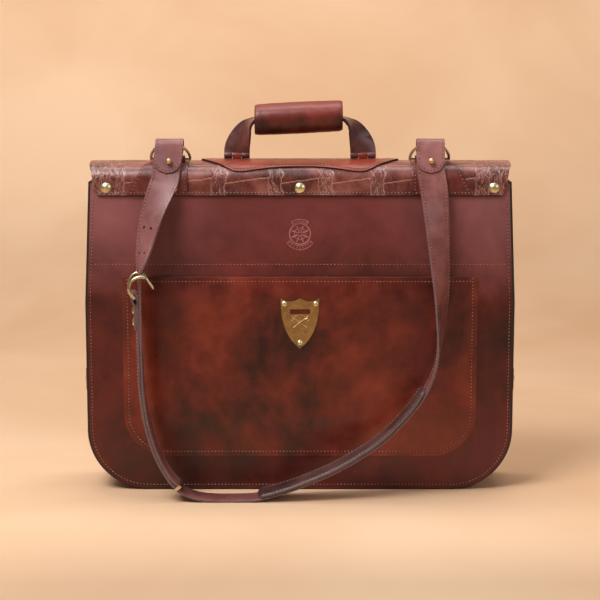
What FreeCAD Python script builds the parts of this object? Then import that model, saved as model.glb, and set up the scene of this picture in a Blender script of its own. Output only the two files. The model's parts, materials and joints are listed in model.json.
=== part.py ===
import FreeCAD, Part
import math
import os

Vector = FreeCAD.Vector

# Fold-over leather garment bag, standing folded. Millimetres. X runs along the fold,
# -Y is the front, +Z is up, and the origin is the middle of the base on the ground.

# Whole bag
bag_width = 560.0
top_width = bag_width - 14.0
taper_start = 250.0
half_depth = 46.5
panel_top = 408.0
corner_radius = 80.0
meeting_gap = 0.0

# Leather, board and cloth thicknesses
panel_leather = 2.5
gusset_leather = 3.5
gusset_reveal = 1.5
board_thickness = 1.5
lining_thickness = 1.0
lining_margin = 1.0
gusset_join_height = 145.0

# Spine over the fold
yoke_leather = 2.2
ridge_rise = 24.0
fold_gap = 1.0
shoulder_radius = 20.0
yoke_width = top_width + 1.0
yoke_drop = 17.0
yoke_corner_cut = 9.0
yoke_taper = 6.0
spine_board_inset = 9.0
end_cap_leather = 2.5

# Smooth patches that carry the rings
patch_leather = 2.0
patch_inner_x = 144.5
patch_outer_top_x = 195.0
patch_outer_fold_x = 214.0
patch_outer_low_x = 223.0

# Brass rivets along the yoke
rivet_head_radius = 7.0
rivet_head_height = 3.2
rivet_shank_radius = 2.0
rivet_drop = 8.0
rivet_end_inset = 23.5
rivet_inner_x = 165.0

# Front pocket
pocket_half_width = bag_width / 2 - 49.0
pocket_bottom = 46.0
pocket_top = panel_top - 123.0
pocket_corner = 57.0
pocket_leather = 2.2
pocket_border = 9.0
pocket_room = 5.0

# Shield plate on the pocket
shield_top = pocket_top - 27.0
shield_height = 66.5
shield_half_width = 25.0
shield_thickness = 1.6
shield_dip = 4.5
window_width = 26.0
window_height = 6.4
window_drop = 18.0
shield_rivet_radius = 4.0
shield_rivet_height = 2.2

# Rings and their leather loops
ring_x = 168.0
ring_wire = 1.8
ring_lean = 38.0
ring_bar_inset = 24.5
ring_bar_clearance = 0.3
ring_loop_leather = 2.0
ring_loop_width = 38.0

# Handle
handle_leg_x = 82.7
handle_strap_width = 27.5
handle_foot_width = handle_strap_width + 6.0
handle_strap_thickness = 4.5
handle_base_leather = 2.5
handle_base_tip_x = 129.0
handle_base_waist = 39.5
# The base's lobe at a leg: distance inward of the leg, and depth in front of the ridge.
handle_base_lobe = ((-29.0, 31.0), (-6.0, 45.0), (22.0, 43.5), (46.0, 40.0))
handle_pin_radius = 2.0
handle_pin_clearance = 0.05
handle_eye_leather = 2.2
handle_eye_lift = 0.3
handle_anchor_width = 11.5
handle_side_gap = 0.5
handle_rise = 49.0
# Bends of a leg: how far inward of its foot, how far above the pins, and the turn of its width.
handle_leg_bends = ((0.0, 3.0, 0.0), (1.0, 12.0, 12.0), (5.5, 25.5, 31.0), (12.0, 38.5, 52.0),
                    (18.5, 46.0, 74.0))
grip_length = 112.5
grip_shift = -1.8
grip_radius = handle_strap_width / 2 + 3.25
grip_leather = 2.5

# Shoulder strap
strap_width = 36.0
ring_radius = strap_width / 2 + 7.3
strap_thickness = 3.0
strap_layer_gap = 0.3
strap_bow_clearance = 0.84
tab_length = 38.0
tab_leave = 162.0
strap_hole_radius = 2.0
strap_hole_spread = 13.0
strap_hole_pitch = 31.0
pad_width = strap_width + 4.0
pad_thickness = 4.0

# Strap buckle, keeper and studs
buckle_wire = 2.0
buckle_bar_clearance = 0.3
buckle_arm_x = strap_width / 2 + 4.0
buckle_length = 26.0
buckle_drop = 142.0
prong_wire = 1.3
prong_length = 20.0
prong_spread = 12.0
prong_eye_width = 4.0
prong_rest_turn = 35.0
chape_length = 42.0
chape_rivet_radius = 4.0
keeper_length = 4.0
keeper_wall = 1.2
keeper_clearance = 0.8
stud_shank_radius = 1.5
stud_ball_radius = 3.8
stud_neck = 1.2
stud_from_end = 14.5

# Side tabs that hold the halves together
tab_low = 131.0
tab_high = 160.0
tab_leather = 2.5
tab_reach = 32.0
tab_hinge_y = 6.0
tab_hinge_gap = 2.0
tab_anchor_length = 26.0
tab_air = 0.3
snap_radius = 6.0
snap_shank_radius = 2.5
magnet_thickness = 1.2

# Inside the back half
garment_strap_width = 22.0
garment_strap_leather = 2.0
garment_strap_heights = (150.0, 300.0)
garment_strap_stand = 1.9
garment_buckle_x = 60.0
garment_buckle_wall = 1.4
bracket_width = 60.0
bracket_low = 16.0
bracket_high = 46.0
bracket_thickness = 2.0
bracket_reach = 17.5
bracket_lip_half = 15.0
bracket_slot_half = 4.0

# Hanging bail on the outside of the back half
bail_wire = 2.0
bail_half_width = 28.0
bail_height = 40.0
bail_corner = 12.0
bail_bar_height = 18.0
bail_stand = 3.0
bail_loop_leather = 2.0
bail_loop_width = 36.0

# Values worked out from the sizes above
fold_base = panel_top + fold_gap
ridge_top = panel_top + ridge_rise
yoke_face = half_depth + yoke_leather
patch_face = yoke_face + patch_leather
inner_face = half_depth - panel_leather
board_face = inner_face - board_thickness
lining_face = board_face - lining_thickness
pocket_face = half_depth + pocket_room + pocket_leather
layer_offset = (strap_thickness + strap_layer_gap) / 2
ring_bow_drop = ring_radius - math.sqrt(ring_radius ** 2 - (strap_width / 2) ** 2)
strap_loop_room = ring_bow_drop / 2 + ring_wire + strap_bow_clearance
rivet_end_x = yoke_width / 2 - rivet_end_inset
rivet_places = (-rivet_end_x, -rivet_inner_x, 0.0, rivet_inner_x, rivet_end_x)
arch_half_run = yoke_face - shoulder_radius
arch_rise = ridge_top - fold_base
arch_spread = arch_half_run ** 2 + arch_rise ** 2 - shoulder_radius ** 2
crown_radius = arch_spread / (2 * (arch_rise - shoulder_radius))
crown_centre = ridge_top - crown_radius
ring_bar_y = -(half_depth - ring_bar_inset)


def arch_height(y, offset):
    """Height of the arch at a depth inside the crown, raised by an offset."""
    radius = crown_radius + offset
    return crown_centre + math.sqrt(radius ** 2 - y ** 2)


ring_loop_radius = ring_wire + ring_bar_clearance + ring_loop_leather
ring_bar_z = arch_height(ring_bar_y, patch_leather) + ring_loop_radius
handle_eye_radius = handle_pin_radius + handle_eye_leather
handle_axis_z = ridge_top + handle_base_leather + handle_eye_radius + handle_eye_lift
grip_z = handle_axis_z + handle_rise


def line(a, b):
    return Part.LineSegment(a, b).toShape()


def arc(a, b, c):
    return Part.Arc(a, b, c).toShape()


def box(low, high):
    size = Vector(*high) - Vector(*low)
    return Part.makeBox(size.x, size.y, size.z, Vector(*low))


def rod(start, end, radius):
    return Part.makeCylinder(radius, (end - start).Length, start, end - start)


def prism(points, direction):
    """Straight-sided solid from a closed outline of points."""
    return Part.Face(Part.makePolygon(points + [points[0]])).extrude(direction)


def dome(base, axis, radius, height, shank_radius, shank_length):
    """Round rivet: a domed head on a face, with its shank behind it."""
    sphere_radius = (radius ** 2 + height ** 2) / (2 * height)
    centre = base + axis * (height - sphere_radius)
    head = Part.makeSphere(sphere_radius, centre).common(rod(base, base + axis * height * 2, radius))
    shank = rod(base - axis * shank_length, base + axis * height / 2, shank_radius)
    return head.fuse(shank).removeSplitter()


def turned(shape):
    """The same piece on the opposite half of the bag."""
    copy = shape.copy()
    copy.rotate(Vector(0, 0, 0), Vector(0, 0, 1), 180)
    return copy


def mirrored(shape):
    return shape.mirror(Vector(0, 0, 0), Vector(1, 0, 0))


# ---- trays ----

def tray_solid(inset, near, far, top=panel_top):
    """Filled tray outline, moved in by an inset, between two depths on the front side."""
    half = bag_width / 2 - inset
    half_top = top_width / 2 - inset
    radius = corner_radius - inset
    low = inset
    bend = radius * (1 - math.sqrt(0.5))
    y = -near

    def at(x, z):
        return Vector(x, y, z)

    edges = [
        line(at(-half + radius, low), at(half - radius, low)),
        arc(at(half - radius, low), at(half - bend, low + bend), at(half, low + radius)),
        line(at(half, low + radius), at(half, taper_start)),
        line(at(half, taper_start), at(half_top, top)),
        line(at(half_top, top), at(-half_top, top)),
        line(at(-half_top, top), at(-half, taper_start)),
        line(at(-half, taper_start), at(-half, low + radius)),
        arc(at(-half, low + radius), at(-half + bend, low + bend), at(-half + radius, low)),
    ]
    return Part.Face(Part.Wire(edges)).extrude(Vector(0, near - far, 0))


def gusset():
    """Wall round the sides and bottom of the front tray, open towards the fold and the back half."""
    outer = tray_solid(0, meeting_gap, inner_face)
    inner = tray_solid(gusset_leather, 0, half_depth, panel_top + 1)
    return outer.cut(inner)


def gusset_bottom():
    keep = box((-bag_width, -half_depth, -1), (bag_width, 0, gusset_join_height))
    return gusset().common(keep)


def gusset_side():
    keep = box((0, -half_depth, gusset_join_height), (bag_width, 0, panel_top))
    return gusset().common(keep)


def panel():
    sheet = tray_solid(gusset_reveal, inner_face, half_depth)
    for x in rivet_places:
        sheet = sheet.cut(yoke_rivet(x))
    return sheet


def board():
    return tray_solid(gusset_leather + lining_margin, board_face, inner_face)


def lining():
    return tray_solid(gusset_leather + lining_margin, lining_face, board_face)


# ---- yoke and spine ----

def arch_edges(offset):
    """Front shoulder, crown and back shoulder of the arch, offset from the yoke's outer face."""
    radius = shoulder_radius + offset
    crown = crown_radius + offset
    lean = math.atan2(arch_half_run, fold_base - crown_centre)

    def shoulder(angle, side):
        y = side * (arch_half_run + radius * math.cos(angle))
        return Vector(0, y, fold_base + radius * math.sin(angle))

    top = math.pi / 2 - lean
    front = [shoulder(0, -1), shoulder(top / 2, -1), shoulder(top, -1)]
    back = [shoulder(top, 1), shoulder(top / 2, 1), shoulder(0, 1)]
    middle = Vector(0, 0, crown_centre + crown)
    return [arc(*front), arc(front[2], middle, back[0]), arc(*back)]


def arch_shell(inner_offset, outer_offset, x_low, x_high):
    """Arched sheet between two offsets from the yoke's outer face."""
    outer = arch_edges(outer_offset)
    inner = arch_edges(inner_offset)
    feet = [line(outer[0].Vertexes[0].Point, inner[0].Vertexes[0].Point),
            line(outer[2].Vertexes[-1].Point, inner[2].Vertexes[-1].Point)]
    face = Part.Face(Part.Wire(Part.__sortEdges__(outer + inner + feet)))
    face.translate(Vector(x_low, 0, 0))
    return face.extrude(Vector(x_high - x_low, 0, 0))


def arch_filled(offset, x_low, x_high):
    edges = arch_edges(offset)
    edges.append(line(edges[2].Vertexes[-1].Point, edges[0].Vertexes[0].Point))
    face = Part.Face(Part.Wire(edges))
    face.translate(Vector(x_low, 0, 0))
    return face.extrude(Vector(x_high - x_low, 0, 0))


def yoke_top():
    """Yoke over the ridge, drawn in at both ends towards its two faces."""
    half = yoke_width / 2
    sheet = arch_shell(-yoke_leather, 0, -half, half)
    start = -ring_bar_y
    low = fold_base - 1
    for side in (-1, 1):
        corner = [Vector(half, side * start, low), Vector(half - yoke_taper, side * yoke_face, low),
                  Vector(half - yoke_taper, side * (yoke_face + 1), low),
                  Vector(half + 1, side * (yoke_face + 1), low), Vector(half + 1, side * start, low)]
        wedge = prism(corner, Vector(0, 0, ridge_rise + 10))
        sheet = sheet.cut(wedge).cut(mirrored(wedge))
    return sheet


def spine_board():
    half = yoke_width / 2 - spine_board_inset
    return arch_shell(-yoke_leather - board_thickness, -yoke_leather, -half, half)


def spine_ends():
    start = yoke_width / 2 - spine_board_inset
    cap = arch_filled(-yoke_leather, start, start + end_cap_leather)
    return Part.makeCompound([cap, mirrored(cap)])


def yoke_apron():
    """Lower edge of the yoke on the front half, with its corners cut off."""
    half = yoke_width / 2 - yoke_taper
    low = panel_top - yoke_drop
    side = low + yoke_corner_cut
    outline = [Vector(-half, -half_depth, panel_top), Vector(-half, -half_depth, side),
               Vector(-half + yoke_corner_cut, -half_depth, low),
               Vector(half - yoke_corner_cut, -half_depth, low),
               Vector(half, -half_depth, side), Vector(half, -half_depth, panel_top)]
    sheet = prism(outline, Vector(0, -yoke_leather, 0))
    for x in rivet_places:
        sheet = sheet.cut(yoke_rivet(x))
    return sheet


def yoke_rivet(x):
    on_patch = patch_inner_x < abs(x) < patch_outer_low_x
    face = patch_face if on_patch else yoke_face
    base = Vector(x, -face, panel_top - rivet_drop)
    return dome(base, Vector(0, -1, 0), rivet_head_radius, rivet_head_height,
                rivet_shank_radius, face - inner_face)


def yoke_rivets():
    return Part.makeCompound([yoke_rivet(x) for x in rivet_places])


def patch_low():
    """Lower ends of the two ring patches, over the apron."""
    low = panel_top - yoke_drop
    outline = [Vector(patch_inner_x, -yoke_face, low), Vector(patch_outer_low_x, -yoke_face, low),
               Vector(patch_outer_fold_x, -yoke_face, panel_top),
               Vector(patch_inner_x, -yoke_face, panel_top)]
    sheet = prism(outline, Vector(0, -patch_leather, 0))
    for x in rivet_places:
        sheet = sheet.cut(yoke_rivet(x))
    return Part.makeCompound([sheet, mirrored(sheet)])


def ring_patch():
    """Smooth patch over the fold at the right ring, widening towards both faces."""
    sheet = arch_shell(0, patch_leather, patch_inner_x, patch_outer_fold_x)
    low = fold_base - 1
    start = -ring_bar_y
    for side in (-1, 1):
        wedge = [Vector(patch_outer_top_x, 0, low), Vector(patch_outer_top_x, side * start, low),
                 Vector(patch_outer_fold_x, side * patch_face, low),
                 Vector(patch_outer_fold_x + 1, side * patch_face, low),
                 Vector(patch_outer_fold_x + 1, 0, low)]
        sheet = sheet.cut(prism(wedge, Vector(0, 0, ridge_rise + 10)))
    return sheet


def ring_loop():
    """Leather loop that holds the right ring's bar on its patch."""
    start = Vector(ring_x - ring_loop_width / 2, ring_bar_y, ring_bar_z)
    end = start + Vector(ring_loop_width, 0, 0)
    foot = box((start.x, ring_bar_y - ring_loop_radius, ring_bar_z - ring_loop_radius - 2),
               (end.x, ring_bar_y + ring_loop_radius, ring_bar_z))
    body = rod(start, end, ring_loop_radius).fuse(foot)
    body = body.cut(arch_filled(patch_leather, start.x - 1, end.x + 1))
    return body.cut(rod(start, end, ring_wire + ring_bar_clearance)).removeSplitter()


def d_ring(x):
    """D-ring: a straight bar and a half circle of wire, leaning forward about the bar."""
    bar = Vector(x, ring_bar_y, ring_bar_z)
    side = Vector(ring_radius, 0, 0)
    section = Part.Face(Part.Wire(Part.makeCircle(ring_wire, bar + side, Vector(0, 0, 1))))
    bow = section.revolve(bar, Vector(0, -1, 0), 180)
    ring = bow.fuse([rod(bar - side, bar + side, ring_wire), Part.makeSphere(ring_wire, bar - side),
                     Part.makeSphere(ring_wire, bar + side)])
    ring.rotate(bar, Vector(1, 0, 0), ring_lean)
    return ring


# ---- handle ----

def handle_base():
    """Base leather over the ridge: pointed ends, deep over the legs and narrow in the middle."""
    front = [Vector(-handle_base_tip_x, 0, 0)]
    front += [Vector(-handle_leg_x + inward, -depth, 0) for inward, depth in handle_base_lobe]
    front += [Vector(0, -handle_base_waist, 0)]
    front = front + [Vector(-p.x, p.y, 0) for p in reversed(front[:-1])]
    curve = Part.BSplineCurve()
    curve.interpolate(front)
    edge = curve.toShape()
    other = edge.mirror(Vector(0, 0, 0), Vector(0, 1, 0))
    plan = Part.Face(Part.Wire(Part.__sortEdges__([edge, other])))
    plan.translate(Vector(0, 0, fold_base))
    column = plan.extrude(Vector(0, 0, ridge_rise + 20))
    sheet = arch_shell(0, handle_base_leather, -handle_base_tip_x - 1, handle_base_tip_x + 1)
    return sheet.common(column)


def handle_pin(x):
    """Pin that a foot of the handle turns on."""
    half = Vector(handle_foot_width / 2, 0, 0)
    centre = Vector(x, 0, handle_axis_z)
    return rod(centre - half, centre + half, handle_pin_radius)


def handle_pins():
    return Part.makeCompound([handle_pin(-handle_leg_x), handle_pin(handle_leg_x)])


def handle_anchor(x):
    """Narrow loop that holds a handle pin on the base."""
    half = Vector(handle_anchor_width / 2, 0, 0)
    centre = Vector(x, 0, handle_axis_z)
    foot = box((x - half.x, -handle_eye_radius, ridge_top), (x + half.x, handle_eye_radius, handle_axis_z))
    body = rod(centre - half, centre + half, handle_eye_radius).fuse(foot)
    body = body.cut(arch_filled(handle_base_leather, x - half.x - 1, x + half.x + 1))
    return body.cut(handle_pin(x)).removeSplitter()


def handle_anchors():
    return Part.makeCompound([handle_anchor(-handle_leg_x), handle_anchor(handle_leg_x)])


def ribbon(stations, width, thickness):
    """Flat strip through stations, each a point and the direction of the strip's width there.

    The width is one number, or a list with one for each station."""
    sections = []
    last = len(stations) - 1
    widths = width if isinstance(width, list) else [width] * (last + 1)
    for i, (point, across) in enumerate(stations):
        along = stations[min(i + 1, last)][0] - stations[max(i - 1, 0)][0]
        normal = along.cross(across).normalize()
        across = normal.cross(along).normalize()
        side = across * (widths[i] / 2)
        up = normal * (thickness / 2)
        corners = [point + side + up, point - side + up, point - side - up, point + side - up]
        sections.append(Part.makePolygon(corners + [corners[0]]))
    return Part.makeLoft(sections, True, True)


def handle_strap():
    """Strap of the handle: broad side forward at the feet, turning flat under the grip."""
    right = []
    for inward, rise, turn in handle_leg_bends + ((25.0, handle_rise, 90.0),):
        spin = math.radians(turn)
        point = Vector(handle_leg_x - inward, 0, handle_axis_z + rise)
        right.append((point, Vector(math.cos(spin), math.sin(spin), 0)))
    left = [(Vector(-p.x, 0, p.z), Vector(-w.x, w.y, 0)) for p, w in right]
    path = right + list(reversed(left))
    last = len(right) - 1
    spread = handle_foot_width - handle_strap_width
    widths = [handle_foot_width - spread * (i / last) for i in range(last + 1)]
    strap = ribbon(path, widths + list(reversed(widths)), handle_strap_thickness)
    for x in (-handle_leg_x, handle_leg_x):
        half = Vector(handle_foot_width / 2, 0, 0)
        centre = Vector(x, 0, handle_axis_z)
        reach = Vector(handle_anchor_width / 2 + handle_side_gap, 0, 0)
        room = handle_eye_radius + handle_side_gap
        hole_radius = handle_pin_radius + handle_pin_clearance
        strap = strap.fuse(rod(centre - half, centre + half, handle_eye_radius))
        strap = strap.cut(rod(centre - half * 2, centre + half * 2, hole_radius))
        strap = strap.cut(rod(centre - reach, centre + reach, room))
    return strap


def grip_core():
    start = Vector(grip_shift - grip_length / 2, 0, grip_z)
    end = start + Vector(grip_length, 0, 0)
    core = rod(start, end, grip_radius - grip_leather)
    return core.cut(handle_strap())


def handle_grip():
    start = Vector(grip_shift - grip_length / 2, 0, grip_z)
    end = start + Vector(grip_length, 0, 0)
    return rod(start, end, grip_radius).cut(rod(start, end, grip_radius - grip_leather))


# ---- pocket and shield ----

def pocket_block(inset, near, far, top):
    """Filled pocket outline, moved in by an inset, between two depths."""
    half = pocket_half_width - inset
    low = pocket_bottom + inset
    radius = pocket_corner - inset
    bend = radius * (1 - math.sqrt(0.5))

    def at(x, z):
        return Vector(x, -near, z)

    edges = [
        line(at(-half + radius, low), at(half - radius, low)),
        arc(at(half - radius, low), at(half - bend, low + bend), at(half, low + radius)),
        line(at(half, low + radius), at(half, top)),
        line(at(half, top), at(-half, top)),
        line(at(-half, top), at(-half, low + radius)),
        arc(at(-half, low + radius), at(-half + bend, low + bend), at(-half + radius, low)),
    ]
    return Part.Face(Part.Wire(edges)).extrude(Vector(0, near - far, 0))


def front_pocket():
    """Pocket leather: a flat stitched border round a raised middle, open along the top."""
    border = pocket_block(0, half_depth, half_depth + pocket_leather, pocket_top)
    raised = pocket_block(pocket_border - pocket_leather, half_depth, pocket_face, pocket_top)
    room = pocket_block(pocket_border, half_depth, half_depth + pocket_room, pocket_top + 1)
    pocket = border.fuse(raised).cut(room)
    for x, z in shield_rivet_places():
        pocket = pocket.cut(shield_rivet(x, z))
    return pocket.removeSplitter()


def shield_rivet_places():
    corner_x = shield_half_width - 4.6
    corner_z = shield_top - 8
    return ((-corner_x, corner_z), (corner_x, corner_z), (0, shield_top - shield_height + 7))


def shield_rivet(x, z):
    base = Vector(x, -(pocket_face + shield_thickness), z)
    return dome(base, Vector(0, -1, 0), shield_rivet_radius, shield_rivet_height,
                1.2, shield_thickness + pocket_leather)


def shield_rivets():
    return Part.makeCompound([shield_rivet(x, z) for x, z in shield_rivet_places()])


def shield_plate():
    """Shield with a peaked, scooped top, a pointed foot and a label window."""
    y = -pocket_face
    peak = Vector(0, y, shield_top)
    foot = Vector(0, y, shield_top - shield_height)
    edges = []
    for side in (-1, 1):
        ear = Vector(side * shield_half_width, y, shield_top - 0.5)
        dip = Vector(side * shield_half_width * 0.5, y, shield_top - shield_dip)
        hip = Vector(side * (shield_half_width - 1.5), y, shield_top - 0.36 * shield_height)
        flank = Vector(side * shield_half_width * 0.66, y, shield_top - 0.7 * shield_height)
        curve = Part.BSplineCurve()
        curve.interpolate([ear, hip, flank, foot])
        edges += [arc(peak, dip, ear), curve.toShape()]
    plate = Part.Face(Part.Wire(Part.__sortEdges__(edges))).extrude(Vector(0, -shield_thickness, 0))
    window_top = shield_top - window_drop + window_height / 2
    plate = plate.cut(box((-window_width / 2, y - shield_thickness, window_top - window_height),
                          (window_width / 2, y, window_top)))
    for x, z in shield_rivet_places():
        plate = plate.cut(shield_rivet(x, z))
    return plate


# ---- shoulder strap ----

# Route of the strap along the face between its two layers, from the left ring down to the ground
# and up to the right ring: x, distance in front of the panel, height, and the turn of its width
# from +X towards the front. Heights in the upper lists are below the panel top, and the others
# are above the ground.
left_upper_route = (
    (-173.5, 10.5, -3.0, 4.0), (-178.5, 14.5, 9.0, 12.0), (-187.5, 20.0, 32.0, 27.0),
    (-194.0, 25.5, 54.0, 39.0), (-200.5, 30.8, 82.0, 54.0), (-204.6, 35.3, 102.0, 70.0),
    (-206.5, 38.0, 115.5, 84.0), (-206.5, 38.5, 130.0, 84.0), (-206.5, 38.5, 150.0, 84.0),
    (-206.5, 38.5, 184.0, 84.0),
)
left_lower_route = (
    (-205.5, 41.0, 200.0, 86.0), (-204.5, 42.5, 172.0, 87.0), (-203.0, 43.5, 144.0, 88.0),
    (-197.0, 45.0, 104.0, 90.0), (-185.5, 46.0, 64.0, 90.0), (-171.0, 46.5, 35.0, 90.0),
    (-155.0, 47.0, 16.0, 90.0),
)
ground_route = (
    (-134.0, 47.0, 6.2, 90.0), (-110.0, 47.0, 3.15, 90.0), (-77.0, 47.0, 3.15, 90.0),
    (-54.0, 47.0, 5.0, 90.0),
)
pad_route = (
    (-28.0, 47.0, 12.0, 90.0), (1.0, 47.0, 22.0, 90.0), (52.0, 47.0, 45.0, 90.0),
    (104.0, 46.5, 79.0, 90.0), (142.0, 46.0, 118.0, 90.0), (161.0, 45.0, 146.0, 90.0),
)
right_lower_route = (
    (173.0, 43.0, 176.0, 94.0), (177.5, 40.0, 206.0, 101.0),
)
right_upper_route = (
    (179.5, 37.0, 172.0, 113.0), (180.0, 34.0, 140.0, 124.0), (178.5, 30.5, 110.0, 133.0),
    (176.5, 26.0, 80.0, 141.0), (174.0, 19.5, 41.0, 156.0), (171.5, 12.0, 11.0, 172.0),
    (169.5, 7.0, -3.0, 178.0),
)


def route_stations(route, from_top):
    stations = []
    for x, out, height, turn in route:
        spin = math.radians(turn)
        z = panel_top - height if from_top else height
        stations.append((Vector(x, -half_depth - out, z), Vector(math.cos(spin), -math.sin(spin), 0)))
    return stations


def shifted(stations, amount):
    """Stations moved off the route towards the strap's outer side."""
    moved = []
    last = len(stations) - 1
    for i, (point, across) in enumerate(stations):
        along = stations[min(i + 1, last)][0] - stations[max(i - 1, 0)][0]
        normal = along.cross(across).normalize()
        moved.append((point + normal * amount, across))
    return moved


def loop_centre():
    """Axis of the strap's loop, in the middle of the ring's bow across the strap's width."""
    reach = ring_radius - ring_bow_drop / 2
    lean = math.radians(ring_lean)
    return Vector(0, ring_bar_y - reach * math.sin(lean), ring_bar_z + reach * math.cos(lean))


def tab_points():
    """Straight front layer of a strap end: its top on the loop, and its foot, in a ring's YZ plane."""
    centre = loop_centre()
    radius = strap_loop_room + strap_thickness / 2
    leave = math.radians(tab_leave)
    top = centre + Vector(0, radius * math.cos(leave), radius * math.sin(leave))
    down = Vector(0, -math.sin(leave), math.cos(leave))
    return top, top + down * tab_length


def ring_end(x, across):
    """Stations of a strap end: up the front tab, back over the ring, through it and down."""
    centre = loop_centre()
    radius = strap_loop_room + strap_thickness / 2
    top, foot = tab_points()
    points = [foot + (top - foot).normalize() * (strap_width / 2), top]
    lowest = ring_lean - 90
    for angle in [a for a in range(144, -90, -18) if a > lowest + 8] + [lowest]:
        spin = math.radians(angle)
        points.append(centre + Vector(0, radius * math.cos(spin), radius * math.sin(spin)))
    under = points[-1]
    away = Vector(0, -math.cos(math.radians(ring_lean)), -math.sin(math.radians(ring_lean)))
    points += [under + away * 7, under + away * 14]
    # The layer behind the tab closes on it towards the tab's foot.
    for behind, above in ((8.2, 14.2), (5.6, 9.4), (3.4, 1.8)):
        points.append(foot + Vector(0, behind, above))
    return [(Vector(x, p.y, p.z), across) for p in points]


def tab_disc(x):
    """Round end of a strap tab."""
    top, foot = tab_points()
    up = (top - foot).normalize()
    normal = up.cross(Vector(1, 0, 0))
    centre = foot + up * (strap_width / 2) + Vector(x, 0, 0) - normal * (strap_thickness / 2)
    return Part.makeCylinder(strap_width / 2, strap_thickness, centre, normal)


def stud_place(x):
    """Middle of a stud on its tab, and the way it points."""
    top, foot = tab_points()
    up = (top - foot).normalize()
    out = Vector(1, 0, 0).cross(up)
    if out.y > 0:
        out = out * -1
    return foot + up * stud_from_end + Vector(x, 0, 0), out


def stud(x):
    """Ball stud through both layers of a strap end."""
    place, out = stud_place(x)
    back = place - out * (strap_thickness * 2.2)
    ball = place + out * (strap_thickness / 2 + stud_neck + stud_ball_radius * 0.8)
    flange = rod(back, back + out * (strap_thickness * 0.3), stud_shank_radius * 2)
    return rod(back, ball, stud_shank_radius).fuse([Part.makeSphere(stud_ball_radius, ball), flange])


def strap_studs():
    return Part.makeCompound([stud(-ring_x), stud(ring_x)])


def left_route():
    upper = route_stations(left_upper_route, True)
    lower = route_stations(left_lower_route, False)
    return upper + [s for s in lower if s[0].z < upper[-1][0].z - 15]


def right_route():
    upper = route_stations(right_upper_route, True)
    lower = route_stations(ground_route + pad_route + right_lower_route, False)
    return [s for s in lower if s[0].z < upper[0][0].z - 15] + upper


def buckle_frame_axes():
    """Point on the route at the heel bar, with the strap's across, outward and upward directions."""
    x, out, _, turn = left_upper_route[7]
    spin = math.radians(turn)
    origin = Vector(x, -half_depth - out, panel_top - buckle_drop)
    across = Vector(math.cos(spin), -math.sin(spin), 0)
    outward = Vector(-math.sin(spin), -math.cos(spin), 0)
    return origin, across, outward, Vector(0, 0, 1)


def heel_centre():
    origin, _, outward, _ = buckle_frame_axes()
    return origin + outward * (layer_offset + buckle_wire + buckle_bar_clearance + strap_thickness / 2)


def top_bar_centre():
    origin, _, outward, up = buckle_frame_axes()
    eye = buckle_wire + prong_wire
    return origin + up * buckle_length - outward * (layer_offset + strap_thickness / 2 + eye + 0.6)


def chape_stations():
    """End of the long strap folded round the heel bar, from the folded end up and over."""
    origin, across, outward, up = buckle_frame_axes()
    centre = heel_centre()
    radius = buckle_wire + buckle_bar_clearance + strap_thickness / 2
    flat = layer_offset + strap_thickness + strap_layer_gap
    points = [origin + outward * flat - up * chape_length, origin + outward * flat - up * 12,
              origin + outward * (flat + 2.5) - up * 7]
    for angle in range(0, 181, 20):
        spin = math.radians(angle)
        points.append(centre + outward * (radius * math.cos(spin)) + up * (radius * math.sin(spin)))
    return [(p, across) for p in points]


def cut_holes(strap, heights, amount):
    """Pairs of round holes through the strap's left run, at heights above the ground."""
    stations = left_route()
    for height in heights:
        index = min(range(len(stations)), key=lambda i: abs(stations[i][0].z - height))
        if stations[index][0].z < height:
            index -= 1
        above, below = stations[index], stations[index + 1]
        share = (above[0].z - height) / (above[0].z - below[0].z)
        point = above[0] + (below[0] - above[0]) * share
        width = (above[1] + (below[1] - above[1]) * share).normalize()
        normal = (below[0] - above[0]).cross(width).normalize()
        for side in (-0.5, 0.5):
            centre = point + width * (strap_hole_spread * side) + normal * amount
            through = normal * strap_thickness
            strap = strap.cut(rod(centre - through, centre + through, strap_hole_radius))
    return strap


def strap_billet():
    """Punched end of the strap: hangs from the left ring, through the buckle, down to the keeper."""
    stations = ring_end(-ring_x, Vector(1, 0, 0))
    stations += shifted(left_route(), -layer_offset)
    strap = ribbon(stations, strap_width, strap_thickness).fuse(tab_disc(-ring_x))
    first = panel_top - buckle_drop + buckle_length + strap_hole_pitch - 3
    holes = [first + strap_hole_pitch, first, first - strap_hole_pitch * 3, first - strap_hole_pitch * 4]
    return cut_holes(strap.cut(stud(-ring_x)), holes, -layer_offset)


def strap_long():
    """Long part of the strap: from the buckle down, along the ground and up to the right ring."""
    folded = chape_stations()
    down = [s for s in left_route() if s[0].z < panel_top - buckle_drop - 6]
    whole = shifted(down + right_route(), layer_offset)
    end = [(p, across) for p, across in reversed(ring_end(ring_x, Vector(-1, 0, 0)))]
    strap = ribbon(folded + whole + end, strap_width, strap_thickness)
    strap = strap.fuse(tab_disc(ring_x)).cut(stud(ring_x))
    for place in chape_rivet_places():
        strap = strap.cut(chape_rivet(place))
    return strap


def shoulder_pad():
    """Doubled shoulder piece sewn on the inner face of the long strap."""
    stations = route_stations(ground_route[-1:] + pad_route, False)
    below = strap_thickness / 2 - layer_offset + strap_layer_gap
    return ribbon(shifted(stations, -(pad_thickness / 2 + below)), pad_width, pad_thickness)


def chape_rivet_places():
    origin, across, outward, up = buckle_frame_axes()
    face = layer_offset + strap_thickness * 1.5 + strap_layer_gap
    places = []
    for drop in (19.0, 34.0):
        for side in (-9.0, 9.0):
            places.append(origin + outward * face - up * drop + across * side)
    return places


def chape_rivet(place):
    outward = buckle_frame_axes()[2]
    return dome(place, outward, chape_rivet_radius, chape_rivet_radius * 0.55, 1.5,
                strap_thickness * 2 + strap_layer_gap)


def chape_rivets():
    return Part.makeCompound([chape_rivet(place) for place in chape_rivet_places()])


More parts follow.
